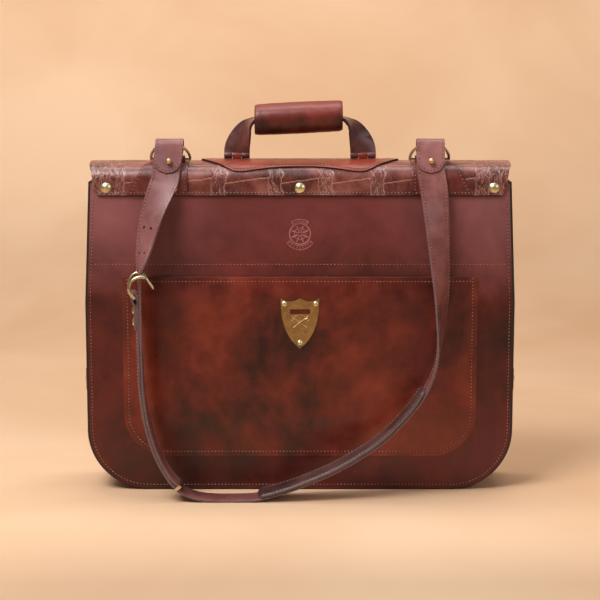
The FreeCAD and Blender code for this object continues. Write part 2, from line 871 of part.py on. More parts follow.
def buckle_frame():
    """Wire frame of the buckle: heel bar, top bar and two bowed arms."""
    origin, across, outward, up = buckle_frame_axes()
    heel = heel_centre()
    top = top_bar_centre()
    frame = None
    for side in (-1, 1):
        shift = across * (buckle_arm_x * side)
        bow = origin + up * (buckle_length / 2) + outward * 12 + shift
        spine = Part.Wire([arc(heel + shift, bow, top + shift)])
        start = spine.Edges[0].tangentAt(spine.Edges[0].FirstParameter)
        circle = Part.Wire([Part.makeCircle(buckle_wire, heel + shift, start)])
        arm = spine.makePipeShell([circle], True, True)
        pieces = [arm]
        pieces += [Part.makeSphere(buckle_wire, end + shift) for end in (heel, top)]
        frame = pieces[0].fuse(pieces[1:]) if frame is None else frame.fuse(pieces)
    for centre in (heel, top):
        shift = across * buckle_arm_x
        frame = frame.fuse(rod(centre - shift, centre + shift, buckle_wire))
    return frame


def buckle_prongs():
    """Two prongs joined by a sleeve that turns on the top bar."""
    origin, across, outward, up = buckle_frame_axes()
    centre = top_bar_centre()
    turn = math.radians(prong_rest_turn)
    away = outward * (-math.sin(turn)) - up * math.cos(turn)
    half = prong_spread / 2 + prong_eye_width / 2
    sleeve = rod(centre - across * half, centre + across * half, buckle_wire + prong_wire)
    prongs = sleeve
    for side in (-0.5, 0.5):
        start = centre + across * (prong_spread * side)
        prongs = prongs.fuse(rod(start, start + away * prong_length, prong_wire))
        prongs = prongs.fuse(Part.makeSphere(prong_wire, start + away * prong_length))
    return prongs.cut(rod(centre - across * half * 2, centre + across * half * 2, buckle_wire + 0.05))


def keeper_axes():
    above, here = left_route()[-2:]
    along = (here[0] - above[0]).normalize()
    across = here[1]
    return here[0] - along * 4, along, across, along.cross(across)


def strap_keeper():
    """Brass band round both layers of the strap near the billet's end."""
    centre, along, across, normal = keeper_axes()
    half_x = strap_width / 2 + keeper_clearance
    half_y = strap_thickness + strap_layer_gap + keeper_clearance

    def ring(extra):
        corners = [centre + across * (sx * (half_x + extra)) + normal * (sy * (half_y + extra))
                   for sx, sy in ((1, 1), (-1, 1), (-1, -1), (1, -1))]
        return prism([c - along * (keeper_length / 2) for c in corners], along * keeper_length)

    return ring(keeper_wall).cut(ring(0))


# ---- side tabs ----

def side_tab():
    """Flap on the right side, from its hinge line at the back half over the front half."""
    face = bag_width / 2 + tab_air
    flap = box((face, tab_hinge_y - 1 - tab_reach, tab_low),
               (face + tab_leather, tab_hinge_y - 1, tab_high))
    return flap.cut(tab_cap())


def tab_cap():
    face = bag_width / 2 + tab_air
    centre = Vector(face + tab_leather, tab_hinge_y - tab_reach + 10, (tab_low + tab_high) / 2)
    return dome(centre, Vector(1, 0, 0), snap_radius, 2.4, snap_shank_radius, tab_leather)


def closure_magnets():
    """Magnets let in flush in the front gusset, behind the caps of the side tabs."""
    cap_y = tab_hinge_y - tab_reach + 10
    centre = Vector(bag_width / 2 - magnet_thickness, cap_y, (tab_low + tab_high) / 2)
    disc = rod(centre, centre + Vector(magnet_thickness, 0, 0), snap_radius)
    return Part.makeCompound([disc, mirrored(disc)])


def tab_anchors():
    """Sewn ends of the side tabs on the back half."""
    start = tab_hinge_y + tab_hinge_gap
    face = bag_width / 2
    plate = box((face, start, tab_low), (face + tab_leather, start + tab_anchor_length, tab_high))
    for rivet in tab_rivet_pair():
        plate = plate.cut(rivet)
    return Part.makeCompound([plate, mirrored(plate)])


def tab_rivet_pair():
    rivets = []
    for z in (tab_low + 8, tab_high - 8):
        base = Vector(bag_width / 2 + tab_leather, tab_hinge_y + tab_hinge_gap + tab_anchor_length / 2, z)
        rivets.append(dome(base, Vector(1, 0, 0), 4, 1.8, 1.5, tab_leather + gusset_leather))
    return rivets


def tab_rivets():
    pair = tab_rivet_pair()
    return Part.makeCompound(pair + [mirrored(r) for r in pair])


# ---- inside and behind the back half ----

def garment_strap(z):
    half = bag_width / 2 - gusset_leather - lining_margin - 4
    near = lining_face - garment_strap_stand - garment_strap_leather
    strap = box((-half, near, z - garment_strap_width / 2),
                (half, near + garment_strap_leather, z + garment_strap_width / 2))
    for side in (-1, 1):
        foot = box((side * half - 12, near, z - garment_strap_width / 2),
                   (side * half + 12, lining_face, z + garment_strap_width / 2))
        inside = box((-half, near, 0), (half, lining_face, panel_top))
        strap = strap.fuse(foot.common(inside))
    return strap.removeSplitter()


def garment_buckles():
    """Sliding frames round the garment straps."""
    near = lining_face - garment_strap_stand - garment_strap_leather
    wall = garment_buckle_wall
    frames = []
    for z in garment_strap_heights:
        half = garment_strap_width / 2
        outer = box((garment_buckle_x - 7, near - wall - 0.2, z - half - wall - 0.3),
                    (garment_buckle_x + 7, near + garment_strap_leather + 0.2 + wall, z + half + wall + 0.3))
        hole = box((garment_buckle_x - 8, near - 0.2, z - half - 0.3),
                   (garment_buckle_x + 8, near + garment_strap_leather + 0.2, z + half + 0.3))
        frames.append(outer.cut(hole))
    return Part.makeCompound(frames)


def bracket_rivet_list():
    rivets = []
    for x in (-bracket_width / 2 + 8, bracket_width / 2 - 8):
        base = Vector(x, lining_face - bracket_thickness, (bracket_low + bracket_high) / 2)
        rivets.append(dome(base, Vector(0, -1, 0), 4, 1.8, 1.5, bracket_thickness))
    return rivets


def hanger_bracket():
    """Brass plate on the back half's lining with a slotted lip for a hanger's hook."""
    half = bracket_width / 2
    plate = box((-half, lining_face - bracket_thickness, bracket_low), (half, lining_face, bracket_high))
    lip_top = bracket_high - 4
    plate_face = lining_face - bracket_thickness
    lip = box((-bracket_lip_half, plate_face - bracket_reach, lip_top - bracket_thickness),
              (bracket_lip_half, plate_face, lip_top))
    slot_near = plate_face - bracket_reach + 5
    slot = box((-bracket_slot_half, slot_near, lip_top - 5),
               (bracket_slot_half, slot_near + 8, lip_top + 1))
    bracket = plate.fuse(lip).cut(slot)
    for rivet in bracket_rivet_list():
        bracket = bracket.cut(rivet)
    return bracket.removeSplitter()


def bail_bar_y():
    return half_depth + bail_stand


def hanging_bail():
    """Wire bail that folds flat on the back panel."""
    y = bail_bar_y()
    low = bail_bar_height
    half = bail_half_width
    high = low + bail_height

    def at(x, z):
        return Vector(x, y, z)

    slant = bail_corner * (1 - math.sqrt(0.5))
    path = Part.Wire([
        line(at(-half, low), at(-half, high - bail_corner)),
        arc(at(-half, high - bail_corner), at(-half + slant, high - slant), at(-half + bail_corner, high)),
        line(at(-half + bail_corner, high), at(half - bail_corner, high)),
        arc(at(half - bail_corner, high), at(half - slant, high - slant), at(half, high - bail_corner)),
        line(at(half, high - bail_corner), at(half, low)),
    ])
    circle = Part.Wire([Part.makeCircle(bail_wire, at(-half, low), Vector(0, 0, 1))])
    bow = path.makePipeShell([circle], True, True)
    bar = rod(at(-half, low), at(half, low), bail_wire)
    ends = [Part.makeSphere(bail_wire, at(x, low)) for x in (-half, half)]
    return bow.fuse([bar] + ends)


def bail_loop():
    """Leather loop that holds the bail's bar on the back panel."""
    y = bail_bar_y()
    outer = bail_wire + ring_bar_clearance + bail_loop_leather
    start = Vector(-bail_loop_width / 2, y, bail_bar_height)
    end = Vector(bail_loop_width / 2, y, bail_bar_height)
    foot = box((start.x, half_depth, bail_bar_height - outer), (end.x, y, bail_bar_height + outer))
    body = rod(start, end, outer).fuse(foot)
    body = body.common(box((start.x, half_depth, 0), (end.x, y + outer + 1, panel_top)))
    return body.cut(rod(start, end, bail_wire + ring_bar_clearance)).removeSplitter()


# Seats for the magnets in the front gusset, and holes for the tab rivets in the back one.
front_side = gusset_side().cut(closure_magnets())
front_bottom = gusset_bottom().cut(closure_magnets())
back_bottom = turned(gusset_bottom())
back_side = turned(mirrored(gusset_side()))
for rivet in tab_rivet_pair():
    back_bottom = back_bottom.cut(rivet).cut(mirrored(rivet))
    back_side = back_side.cut(rivet)

nodes = {
    "yoke_top": yoke_top(),
    "spine_board": spine_board(),
    "spine_ends": spine_ends(),
    "ring_patch_right": ring_patch(),
    "ring_patch_left": mirrored(ring_patch()),
    "ring_loop_right": ring_loop(),
    "ring_loop_left": mirrored(ring_loop()),
    "handle_base": handle_base(),
    "handle_anchors": handle_anchors(),
    "handle_pins": handle_pins(),
    "handle_strap": handle_strap(),
    "grip_core": grip_core(),
    "handle_grip": handle_grip(),
    "d_ring_left": d_ring(-ring_x),
    "d_ring_right": d_ring(ring_x),
    "front_panel": panel(),
    "front_board": board(),
    "front_lining": lining(),
    "front_gusset_bottom": front_bottom,
    "front_gusset_right": front_side,
    "front_gusset_left": mirrored(front_side),
    "front_yoke_apron": yoke_apron(),
    "front_patches": patch_low(),
    "front_rivets": yoke_rivets(),
    "front_pocket": front_pocket(),
    "shield_plate": shield_plate(),
    "shield_rivets": shield_rivets(),
    "closure_magnets": closure_magnets(),
    "back_panel": turned(panel()),
    "back_board": turned(board()),
    "back_lining": turned(lining()),
    "back_gusset_bottom": back_bottom,
    "back_gusset_right": back_side,
    "back_gusset_left": mirrored(back_side),
    "back_yoke_apron": turned(yoke_apron()),
    "back_patches": turned(patch_low()),
    "back_rivets": turned(yoke_rivets()),
    "tab_anchors": tab_anchors(),
    "tab_rivets": tab_rivets(),
    "garment_strap_lower": garment_strap(garment_strap_heights[0]),
    "garment_strap_upper": garment_strap(garment_strap_heights[1]),
    "garment_buckles": garment_buckles(),
    "hanger_bracket": hanger_bracket(),
    "bracket_rivets": Part.makeCompound(bracket_rivet_list()),
    "bail_loop": bail_loop(),
    "hanging_bail": hanging_bail(),
    "side_tab_right": side_tab(),
    "side_tab_left": mirrored(side_tab()),
    "tab_cap_right": tab_cap(),
    "tab_cap_left": mirrored(tab_cap()),
    "strap_billet": strap_billet(),
    "strap_long": strap_long(),
    "shoulder_pad": shoulder_pad(),
    "strap_studs": strap_studs(),
    "chape_rivets": chape_rivets(),
    "buckle_frame": buckle_frame(),
    "buckle_prongs": buckle_prongs(),
    "strap_keeper": strap_keeper(),
}

os.makedirs("parts", exist_ok=True)
for name, shape in nodes.items():
    shape.exportStep("parts/" + name + ".step")
print(len(nodes), "nodes written")
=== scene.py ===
import json
import math
import bpy
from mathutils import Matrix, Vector, noise

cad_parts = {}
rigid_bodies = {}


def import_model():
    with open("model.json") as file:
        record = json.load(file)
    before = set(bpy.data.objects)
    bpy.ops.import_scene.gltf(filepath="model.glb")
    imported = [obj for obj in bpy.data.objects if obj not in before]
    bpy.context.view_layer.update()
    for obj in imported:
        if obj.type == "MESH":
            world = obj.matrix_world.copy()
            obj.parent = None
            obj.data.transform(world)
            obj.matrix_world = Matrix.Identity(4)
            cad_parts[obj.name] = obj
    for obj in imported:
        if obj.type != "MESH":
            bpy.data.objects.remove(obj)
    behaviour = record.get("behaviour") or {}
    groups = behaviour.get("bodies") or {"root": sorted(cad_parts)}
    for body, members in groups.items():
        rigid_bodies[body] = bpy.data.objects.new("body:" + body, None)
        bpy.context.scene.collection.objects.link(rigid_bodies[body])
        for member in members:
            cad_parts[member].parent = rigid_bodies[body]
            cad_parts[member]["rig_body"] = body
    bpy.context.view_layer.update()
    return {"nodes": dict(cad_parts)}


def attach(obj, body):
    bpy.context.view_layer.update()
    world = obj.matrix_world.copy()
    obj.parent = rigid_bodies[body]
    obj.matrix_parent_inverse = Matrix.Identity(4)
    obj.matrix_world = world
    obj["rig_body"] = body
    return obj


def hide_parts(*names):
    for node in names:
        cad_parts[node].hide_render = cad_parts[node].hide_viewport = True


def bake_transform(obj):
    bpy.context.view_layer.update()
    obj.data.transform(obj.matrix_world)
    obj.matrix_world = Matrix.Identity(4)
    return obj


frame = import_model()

# Fold-over leather garment bag. Sizes in the dictionaries are millimetres.
mm = 0.001


def say(stage):
    print("stage:", stage)


def deselect():
    for o in bpy.context.view_layer.objects:
        o.select_set(False)


def activate(o):
    deselect()
    o.select_set(True)
    bpy.context.view_layer.objects.active = o


def applyAll(o):
    activate(o)
    for name in [m.name for m in o.modifiers]:
        bpy.ops.object.modifier_apply(modifier=name)


def editAll(*steps):
    # Runs edit-mode steps on every face of the active piece.
    bpy.ops.object.mode_set(mode="EDIT")
    bpy.ops.mesh.select_all(action="SELECT")
    for step, options in steps:
        step(**options)
    bpy.ops.object.mode_set(mode="OBJECT")


def facingOut(o):
    activate(o)
    editAll((bpy.ops.mesh.normals_make_consistent, {"inside": False}))
    return o


def meshPiece(name, verts, faces):
    mesh = bpy.data.meshes.new(name)
    mesh.from_pydata(verts, [], faces)
    o = bpy.data.objects.new(name, mesh)
    bpy.context.scene.collection.objects.link(o)
    return o


def joined(pieces):
    deselect()
    for piece in pieces:
        piece.select_set(True)
    bpy.context.view_layer.objects.active = pieces[0]
    bpy.ops.object.join()
    return bpy.context.object


def smooth(t):
    t = min(1.0, max(0.0, t))
    return t * t * (3 - 2 * t)


def lerp(a, b, t):
    return a + (b - a) * t


def between(stops, x):  # straight-line reading of a list of (x, value)
    if x <= stops[0][0]:
        return stops[0][1]
    for (x0, v0), (x1, v1) in zip(stops, stops[1:]):
        if x <= x1:
            return lerp(v0, v1, (x - x0) / (x1 - x0))
    return stops[-1][1]


# camera: long lens, a little above the bag

view = {"place": (0.0, -2219.0, 598.0), "aim": (0.0, -46.0, 254.0), "lens": 101.4}


def makeCamera():
    data = bpy.data.cameras.new("camera")
    data.lens = view["lens"]
    data.sensor_width = 36
    camera = bpy.data.objects.new("camera", data)
    bpy.context.scene.collection.objects.link(camera)
    place = Vector(view["place"]) * mm
    camera.location = place
    camera.rotation_euler = (Vector(view["aim"]) * mm - place).to_track_quat("-Z", "Y").to_euler()
    bpy.context.scene.camera = camera


makeCamera()
bpy.context.scene.view_settings.view_transform = "Standard"


# finishes: every one is a Principled shader with its pattern on Object coordinates

def linear(code):
    parts = [int(code[i:i + 2], 16) / 255 for i in (1, 3, 5)]
    return tuple(c / 12.92 if c <= 0.04045 else ((c + 0.055) / 1.055) ** 2.4 for c in parts) + (1.0,)


def addNode(tree, kind, out, settings=None, links=None):
    # Adds a node, sets its values, links its inputs, and gives back the output that is asked for.
    node = tree.nodes.new("ShaderNode" + kind)
    for name, value in (settings or {}).items():
        if name == "stops":
            elements = node.color_ramp.elements
            while len(elements) < len(value):
                elements.new(0.5)
            for element, (place, colour) in zip(elements, value):
                element.position = place
                element.color = colour if isinstance(colour, tuple) else (colour, colour, colour, 1)
        elif isinstance(name, int) or name in node.inputs:
            node.inputs[name].default_value = value
        else:
            setattr(node, name, value)
    for name, source in (links or {}).items():
        tree.links.new(source, node.inputs[name])
    return node.outputs[out]


def startFinish(name, roughness, **sockets):
    finish = bpy.data.materials.new(name)
    finish.use_nodes = True
    tree = finish.node_tree
    shader = tree.nodes["Principled BSDF"]
    shader.inputs["Roughness"].default_value = roughness
    for socket, value in sockets.items():
        shader.inputs[socket.replace("_", " ")].default_value = value
    return tree, addNode(tree, "TexCoord", "Object")


def endFinish(name, tree, colour, layers, rough=None):
    # Joins the colour, the roughness and the relief, as (height, strength, depth in mm), to the shader.
    shader = tree.nodes["Principled BSDF"]
    tree.links.new(colour, shader.inputs["Base Color"])
    if rough:
        tree.links.new(rough, shader.inputs["Roughness"])
    links = {}
    for height, strength, depth in layers:
        links["Height"] = height
        links["Normal"] = addNode(tree, "Bump", "Normal",
                                  {"Strength": strength, "Distance": depth * mm}, links)
    tree.links.new(links["Normal"], shader.inputs["Normal"])
    return bpy.data.materials[name]


def leatherFinish(name, tones, cloud=110, patchySheen=None, gloss=0.42, paintedTopSheen=None):
    # Vegetable-tanned, waxed cow leather: the dye pools in soft clouds, fine pores, satin face.
    tree, place = startFinish(name, gloss, Coat_Weight=0.1, Coat_Roughness=0.3, Specular_IOR_Level=0.4)
    dark, middle, light = [linear(t) for t in tones]
    squashed = addNode(tree, "Mapping", "Vector", {"Scale": (1, 1, 0.8)}, {"Vector": place})
    clouds = addNode(tree, "TexNoise", "Fac", {"Scale": 1000 / cloud, "Detail": 4, "Roughness": 0.6,
                                               "Distortion": 0.5}, {"Vector": squashed})
    small = addNode(tree, "TexNoise", "Fac", {"Scale": 5000 / cloud, "Detail": 4, "Roughness": 0.6,
                                              "Distortion": 0.3}, {"Vector": place})
    dye = addNode(tree, "Math", "Value", {"operation": "MULTIPLY_ADD", 1: 0.28}, {0: small, 2: clouds})
    colour = addNode(tree, "ValToRGB", "Color",
                     {"stops": [(0.46, dark), (0.63, middle), (0.86, light)]}, {"Fac": dye})
    # Painted sheen: a purple-grey haze mixed into the colour in random patches.
    if patchySheen:
        wide = addNode(tree, "TexNoise", "Fac", {"Scale": 625 / cloud}, {"Vector": place})
        haze = addNode(tree, "ValToRGB", "Color", {"stops": [(0.5, 0.0), (0.72, 0.55)]}, {"Fac": wide})
        colour = addNode(tree, "Mix", 2, {"data_type": "RGBA", 7: linear(patchySheen)}, {0: haze, 6: colour})
    if paintedTopSheen:  # painted sheen: the colour is lightened towards the top, where the light falls
        height = addNode(tree, "SeparateXYZ", "Z", links={"Vector": place})
        spread = paintedTopSheen[1] - paintedTopSheen[0]
        drawn = addNode(tree, "Math", "Value", {"operation": "MULTIPLY_ADD", 1: spread, 2: -spread / 2},
                        {0: clouds})
        risen = addNode(tree, "Math", "Value", {"operation": "ADD"}, {0: height, 1: drawn})
        share = addNode(tree, "MapRange", "Result",
                        {"From Min": paintedTopSheen[0], "From Max": paintedTopSheen[1], "To Max": 0.7}, {"Value": risen})
        colour = addNode(tree, "Mix", 2, {"data_type": "RGBA", 7: linear(paintedTopSheen[2])},
                         {0: share, 6: colour})
        if len(paintedTopSheen) > 3:  # and the painted sheen is stronger towards the sides
            away = addNode(tree, "Math", "Value", {"operation": "ABSOLUTE"},
                           {0: height.node.outputs["X"]})
            wide = addNode(tree, "MapRange", "Result",
                           {"From Min": 0.1, "From Max": 0.25, "To Max": 0.75}, {"Value": away})
            both = addNode(tree, "Math", "Value", {"operation": "MULTIPLY"}, {0: share, 1: wide})
            colour = addNode(tree, "Mix", 2, {"data_type": "RGBA", 7: linear(paintedTopSheen[3])},
                             {0: both, 6: colour})
    pores = addNode(tree, "TexVoronoi", "Distance", {"Scale": 1000 / 1.6}, {"Vector": place})
    rough = addNode(tree, "MapRange", "Result", {"From Min": 0.3, "From Max": 0.7, "To Min": gloss - 0.09,
                                                 "To Max": gloss + 0.13}, {"Value": small})
    layers = [(pores, 0.12, 0.25)]
    for size, detail, fineness, strength, depth in ((5, 4, 0.6, 0.22, 0.5), (34, 3, 0.5, 0.3, 1.2)):
        layers.append((addNode(tree, "TexNoise", "Fac",
                               {"Scale": 1000 / size, "Detail": detail, "Roughness": fineness},
                               {"Vector": place}), strength, depth))
    return endFinish(name, tree, colour, layers, rough)


def edgeFinish(name, tones):
    # Cut leather edge, dyed and burnished: dark, fibrous along the cut, a dull wax shine.
    tree, place = startFinish(name, 0.55)
    fibres = addNode(tree, "TexNoise", "Fac", {"Scale": 1000 / 1.6, "Detail": 3, "Roughness": 0.7},
                     {"Vector": place})
    colour = addNode(tree, "ValToRGB", "Color",
                     {"stops": [(0.3, linear(tones[0])), (0.7, linear(tones[1]))]}, {"Fac": fibres})
    return endFinish(name, tree, colour, [(fibres, 0.4, 0.3)])


def scaleFinish(name):
    # Embossed reptile-pattern cow leather: waxy tiles, pale along the wrinkles, with a painted highlight
    # along the creases.
    tree, place = startFinish(name, 0.36, Coat_Weight=0.25, Coat_Roughness=0.25)
    crease = addNode(tree, "Attribute", "Fac", {"attribute_name": "crease"})
    wrinkle = addNode(tree, "Attribute", "Fac", {"attribute_name": "wrinkle"})
    clouds = addNode(tree, "TexNoise", "Fac", {"Scale": 1000 / 34, "Detail": 4, "Roughness": 0.6,
                                               "Distortion": 0.5}, {"Vector": place})
    body = addNode(tree, "ValToRGB", "Color",
                   {"stops": [(0.38, linear("#4a1812")), (0.5, linear("#6e3028")),
                              (0.66, linear("#8c5048"))]}, {"Fac": clouds})
    # Hair-fine wrinkles, drawn 2 mm apart so that they show.
    lines = []
    for size, swirl, stretch in ((6, 0.8, (1, 0.3, 0.2)), (9, 1.2, (0.9, 0.6, 0.5))):
        drawn = addNode(tree, "Mapping", "Vector", {"Scale": stretch}, {"Vector": place})
        strands = addNode(tree, "TexNoise", "Fac", {"Scale": 1000 / size, "Detail": 3, "Roughness": 0.6,
                                                    "Distortion": swirl}, {"Vector": drawn})
        away = addNode(tree, "Math", "Value", {"operation": "SUBTRACT", 1: 0.5}, {0: strands})
        near = addNode(tree, "Math", "Value", {"operation": "ABSOLUTE"}, {0: away})
        lines.append(addNode(tree, "ValToRGB", "Color", {"stops": [(0.0, 0.8), (0.026, 0.0)]},
                             {"Fac": near}))
    both = addNode(tree, "Math", "Value", {"operation": "MAXIMUM"}, {0: lines[0], 1: lines[1]})
    amount = addNode(tree, "Math", "Value", {"operation": "MULTIPLY_ADD", 1: 0.62, 2: 0.1},
                     {0: wrinkle})
    fine = addNode(tree, "Math", "Value", {"operation": "MULTIPLY"}, {0: both, 1: amount})
    # Painted highlight: the creases are coloured pale, as their raised edges catching the light.
    creaseHighlight = addNode(tree, "ValToRGB", "Color", {"stops": [(0.3, 0.0), (0.8, 0.8)]}, {"Fac": crease})
    pale = addNode(tree, "Math", "Value", {"operation": "MAXIMUM"}, {0: fine, 1: creaseHighlight})
    shade = addNode(tree, "Math", "Value", {"operation": "MULTIPLY", 1: 0.3}, {0: wrinkle})
    colour = addNode(tree, "Mix", 2, {"data_type": "RGBA", 7: linear("#5c302a")}, {0: shade, 6: body})
    colour = addNode(tree, "Mix", 2, {"data_type": "RGBA", 7: linear("#c99a8e")}, {0: pale, 6: colour})
    grain = addNode(tree, "TexNoise", "Fac", {"Scale": 1000 / 3, "Detail": 3, "Roughness": 0.6},
                    {"Vector": place})
    return endFinish(name, tree, colour, [(fine, 0.35, 0.4), (grain, 0.2, 0.3)])


def threadFinish(name):
    # Waxed linen thread, twisted: pale tan-pink, satin.
    tree, place = startFinish(name, 0.6)
    worn = addNode(tree, "TexNoise", "Fac", {"Scale": 1000 / 9}, {"Vector": place})
    colour = addNode(tree, "ValToRGB", "Color",
                     {"stops": [(0.3, linear("#8a5448")), (0.7, linear("#bc887a"))]}, {"Fac": worn})
    twist = addNode(tree, "TexNoise", "Fac", {"Scale": 1000 / 0.8}, {"Vector": place})
    return endFinish(name, tree, colour, [(twist, 0.3, 0.2)])


def metalFinish(name, tones, rough, grime=0.3):
    # Cast and tumbled metal, aged in the low places.
    tree, place = startFinish(name, rough, Metallic=1.0)
    patches = addNode(tree, "TexNoise", "Fac", {"Scale": 1000 / 9, "Detail": 4, "Roughness": 0.6,
                                                "Distortion": 0.4}, {"Vector": place})
    colour = addNode(tree, "ValToRGB", "Color",
                     {"stops": [(0.3, linear(tones[0])), (0.62, linear(tones[1]))]}, {"Fac": patches})
    dull = addNode(tree, "MapRange", "Result",
                   {"From Min": 0.3, "From Max": 0.7, "To Min": rough + grime * 0.4, "To Max": rough},
                   {"Value": patches})
    tumbled = addNode(tree, "TexNoise", "Fac", {"Scale": 1000 / 1.2, "Detail": 3, "Roughness": 0.6},
                      {"Vector": place})
    return endFinish(name, tree, colour, [(tumbled, 0.12, 0.15)], dull)


def clothFinish(name):
    # Cotton twill lining: diagonal ribs, drawn at 1.5 mm so that they show.
    tree, place = startFinish(name, 0.85, Sheen_Weight=0.25, Sheen_Roughness=0.5)
    turned = addNode(tree, "Mapping", "Vector", {"Rotation": (0, math.radians(38), 0)},
                     {"Vector": place})
    ribs = addNode(tree, "TexWave", "Fac", {"Scale": 1000 / 1.5 / 6.283, "Distortion": 0.6,
                                            "Detail": 1}, {"Vector": turned})
    soft = addNode(tree, "TexNoise", "Fac", {"Scale": 1000 / 60, "Detail": 3}, {"Vector": place})
    worn = addNode(tree, "ValToRGB", "Color", {"stops": [(0.4, 0.0), (0.7, 0.3)]}, {"Fac": soft})
    colour = addNode(tree, "Mix", 2, {"data_type": "RGBA", 6: linear("#8f7a5c"),
                                      7: linear("#a99370")}, {0: ribs})
    colour = addNode(tree, "Mix", 2, {"data_type": "RGBA", 7: linear("#7c6a50")}, {0: worn, 6: colour})
    return endFinish(name, tree, colour, [(ribs, 0.35, 0.3), (soft, 0.2, 1.5)])


def boardFinish(name):
    # Grey stiffener board: pressed fibre, matt.
    tree, place = startFinish(name, 0.9)
    flecks = addNode(tree, "TexNoise", "Fac", {"Scale": 250, "Detail": 4, "Roughness": 0.7},
                     {"Vector": place})
    colour = addNode(tree, "ValToRGB", "Color",
                     {"stops": [(0.3, linear("#5a5148")), (0.7, linear("#7a6f63"))]}, {"Fac": flecks})
    fibres = addNode(tree, "TexNoise", "Fac", {"Scale": 500, "Detail": 3, "Roughness": 0.6},
                     {"Vector": place})
    return endFinish(name, tree, colour, [(fibres, 0.3, 0.3)])


def canvasFinish(name):
    # Painted canvas sweep: matt, warm, faintly uneven, in soft bands of light from front to back.
    tree, place = startFinish(name, 0.95, Specular_IOR_Level=0.1)
    washes = addNode(tree, "TexNoise", "Fac", {"Scale": 1000 / 700, "Detail": 4, "Roughness": 0.55,
                                               "Distortion": 0.4}, {"Vector": place})
    colour = addNode(tree, "ValToRGB", "Color",
                     {"stops": [(0.35, linear("#e1b893")), (0.65, linear("#efcba8"))]}, {"Fac": washes})
    depth = addNode(tree, "SeparateXYZ", "Y", links={"Vector": place})
    along = addNode(tree, "MapRange", "Result", {"From Min": -0.6, "From Max": 2.2}, {"Value": depth})
    shade = addNode(tree, "ValToRGB", "Color",
                    {"stops": [(0.06, 0.68), (0.11, 0.86), (0.146, 0.94), (0.343, 0.79), (0.75, 0.75),
                               (0.943, 1.0)]}, {"Fac": along})
    colour = addNode(tree, "Mix", 2, {"data_type": "RGBA", "blend_type": "MULTIPLY", 0: 1.0},
                     {6: colour, 7: shade})
    weave = addNode(tree, "TexNoise", "Fac", {"Scale": 1000 / 60, "Detail": 3}, {"Vector": place})
    finish = endFinish(name, tree, colour, [(weave, 0.1, 1.0)])
    # It is painted on its face only, so that the sweep doesn't hide the bag's back from behind.
    behind = addNode(tree, "NewGeometry", "Backfacing")
    clear = addNode(tree, "BsdfTransparent", "BSDF")
    painted = tree.nodes["Principled BSDF"].outputs["BSDF"]
    oneSided = addNode(tree, "MixShader", "Shader", links={0: behind, 1: painted, 2: clear})
    tree.links.new(oneSided, tree.nodes["Material Output"].inputs["Surface"])
    return finish


# Painted sheen: the panel is coloured lighter and pinker towards its top, and more so at the upper sides,
# where the light glances off it.
panelLeather = leatherFinish("waxed_oxblood_leather", ("#260906", "#46130d", "#6a2018"), 120, "#5a2226", 0.36,
                             (0.26, 0.42, "#884443", "#ac7478"))
pocketLeather = leatherFinish("waxed_oxblood_leather_warm", ("#2c0a06", "#621e12", "#8e3823"), 125, "#4a1a18",
                              0.36)
strapLeather = leatherFinish("waxed_bridle_leather", ("#52292a", "#804a46", "#a8706c"), 80, "#94686a", 0.36)
padLeather = leatherFinish("waxed_pad_leather", ("#2c1a18", "#4c302e", "#6a4846"), 60, "#5a4446", 0.4)
# Painted light: the grip is coloured lighter along its top and dark below, as lit from above.
gripLeather = leatherFinish("waxed_grip_leather", ("#200806", "#42140d", "#6c261b"), 45, None, 0.36,
                            (0.478, 0.502, "#8a3428"))
legLeather = leatherFinish("waxed_handle_leg_leather", ("#3a1c1a", "#5c302c", "#7c4640"), 50, "#6a4444", 0.32)
baseLeather = leatherFinish("waxed_handle_leather", ("#54180e", "#782a1a", "#923a26"), 60, None, 0.4)
patchLeather = leatherFinish("waxed_patch_leather", ("#42190f", "#642a22", "#80403a"), 50, "#74464a", 0.34)
stampLeather = leatherFinish("rubbed_stamp_leather", ("#864a4a", "#a0605e", "#b47674"), 40, None, 0.4)
scaleLeather = scaleFinish("embossed_scale_leather")
cutEdge = edgeFinish("burnished_leather_edge", ("#140c0a", "#2c1a13"))
strapEdge = edgeFinish("raw_strap_edge", ("#46383b", "#76666a"))
# Painted highlight: the pocket's cut edge is coloured pale, as its top rim catching the light.
pocketEdgeHighlight = edgeFinish("pocket_edge_painted_highlight", ("#7c4838", "#b07a66"))
needleHoleShadow = edgeFinish("needle_hole_shadow", ("#180807", "#2a0f0c"))
thread = threadFinish("waxed_linen_thread")
paleBrass = metalFinish("polished_solid_brass", ("#c8b888", "#efe4b8"), 0.3, 0.15)
oldBrass = metalFinish("antiqued_cast_brass", ("#94744c", "#b8945e"), 0.42, 0.3)
crestBrass = metalFinish("rubbed_cast_brass", ("#c8a474", "#ecd09c"), 0.34, 0.2)
wireBrass = metalFinish("nickel_brass_wire", ("#a89a74", "#dcd2b0"), 0.24)
magnetSteel = metalFinish("nickel_plated_steel", ("#8a8a8c", "#c2c2c4"), 0.3)
liningCloth = clothFinish("cotton_twill_lining")
stiffBoard = boardFinish("pressed_fibre_board")
say("finishes")


def finishPiece(o, finishes, body=None, replaces=()):
    slots = o.data.materials  # cleared slots would forget which faces are cut edges
    for i, finish in enumerate(finishes):
        if i < len(slots):
            slots[i] = finish
        else:
            slots.append(finish)
    activate(o)
    bpy.ops.object.shade_smooth_by_angle(angle=math.radians(40))
    if body:
        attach(o, body)
    if replaces:
        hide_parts(*replaces)
    return o


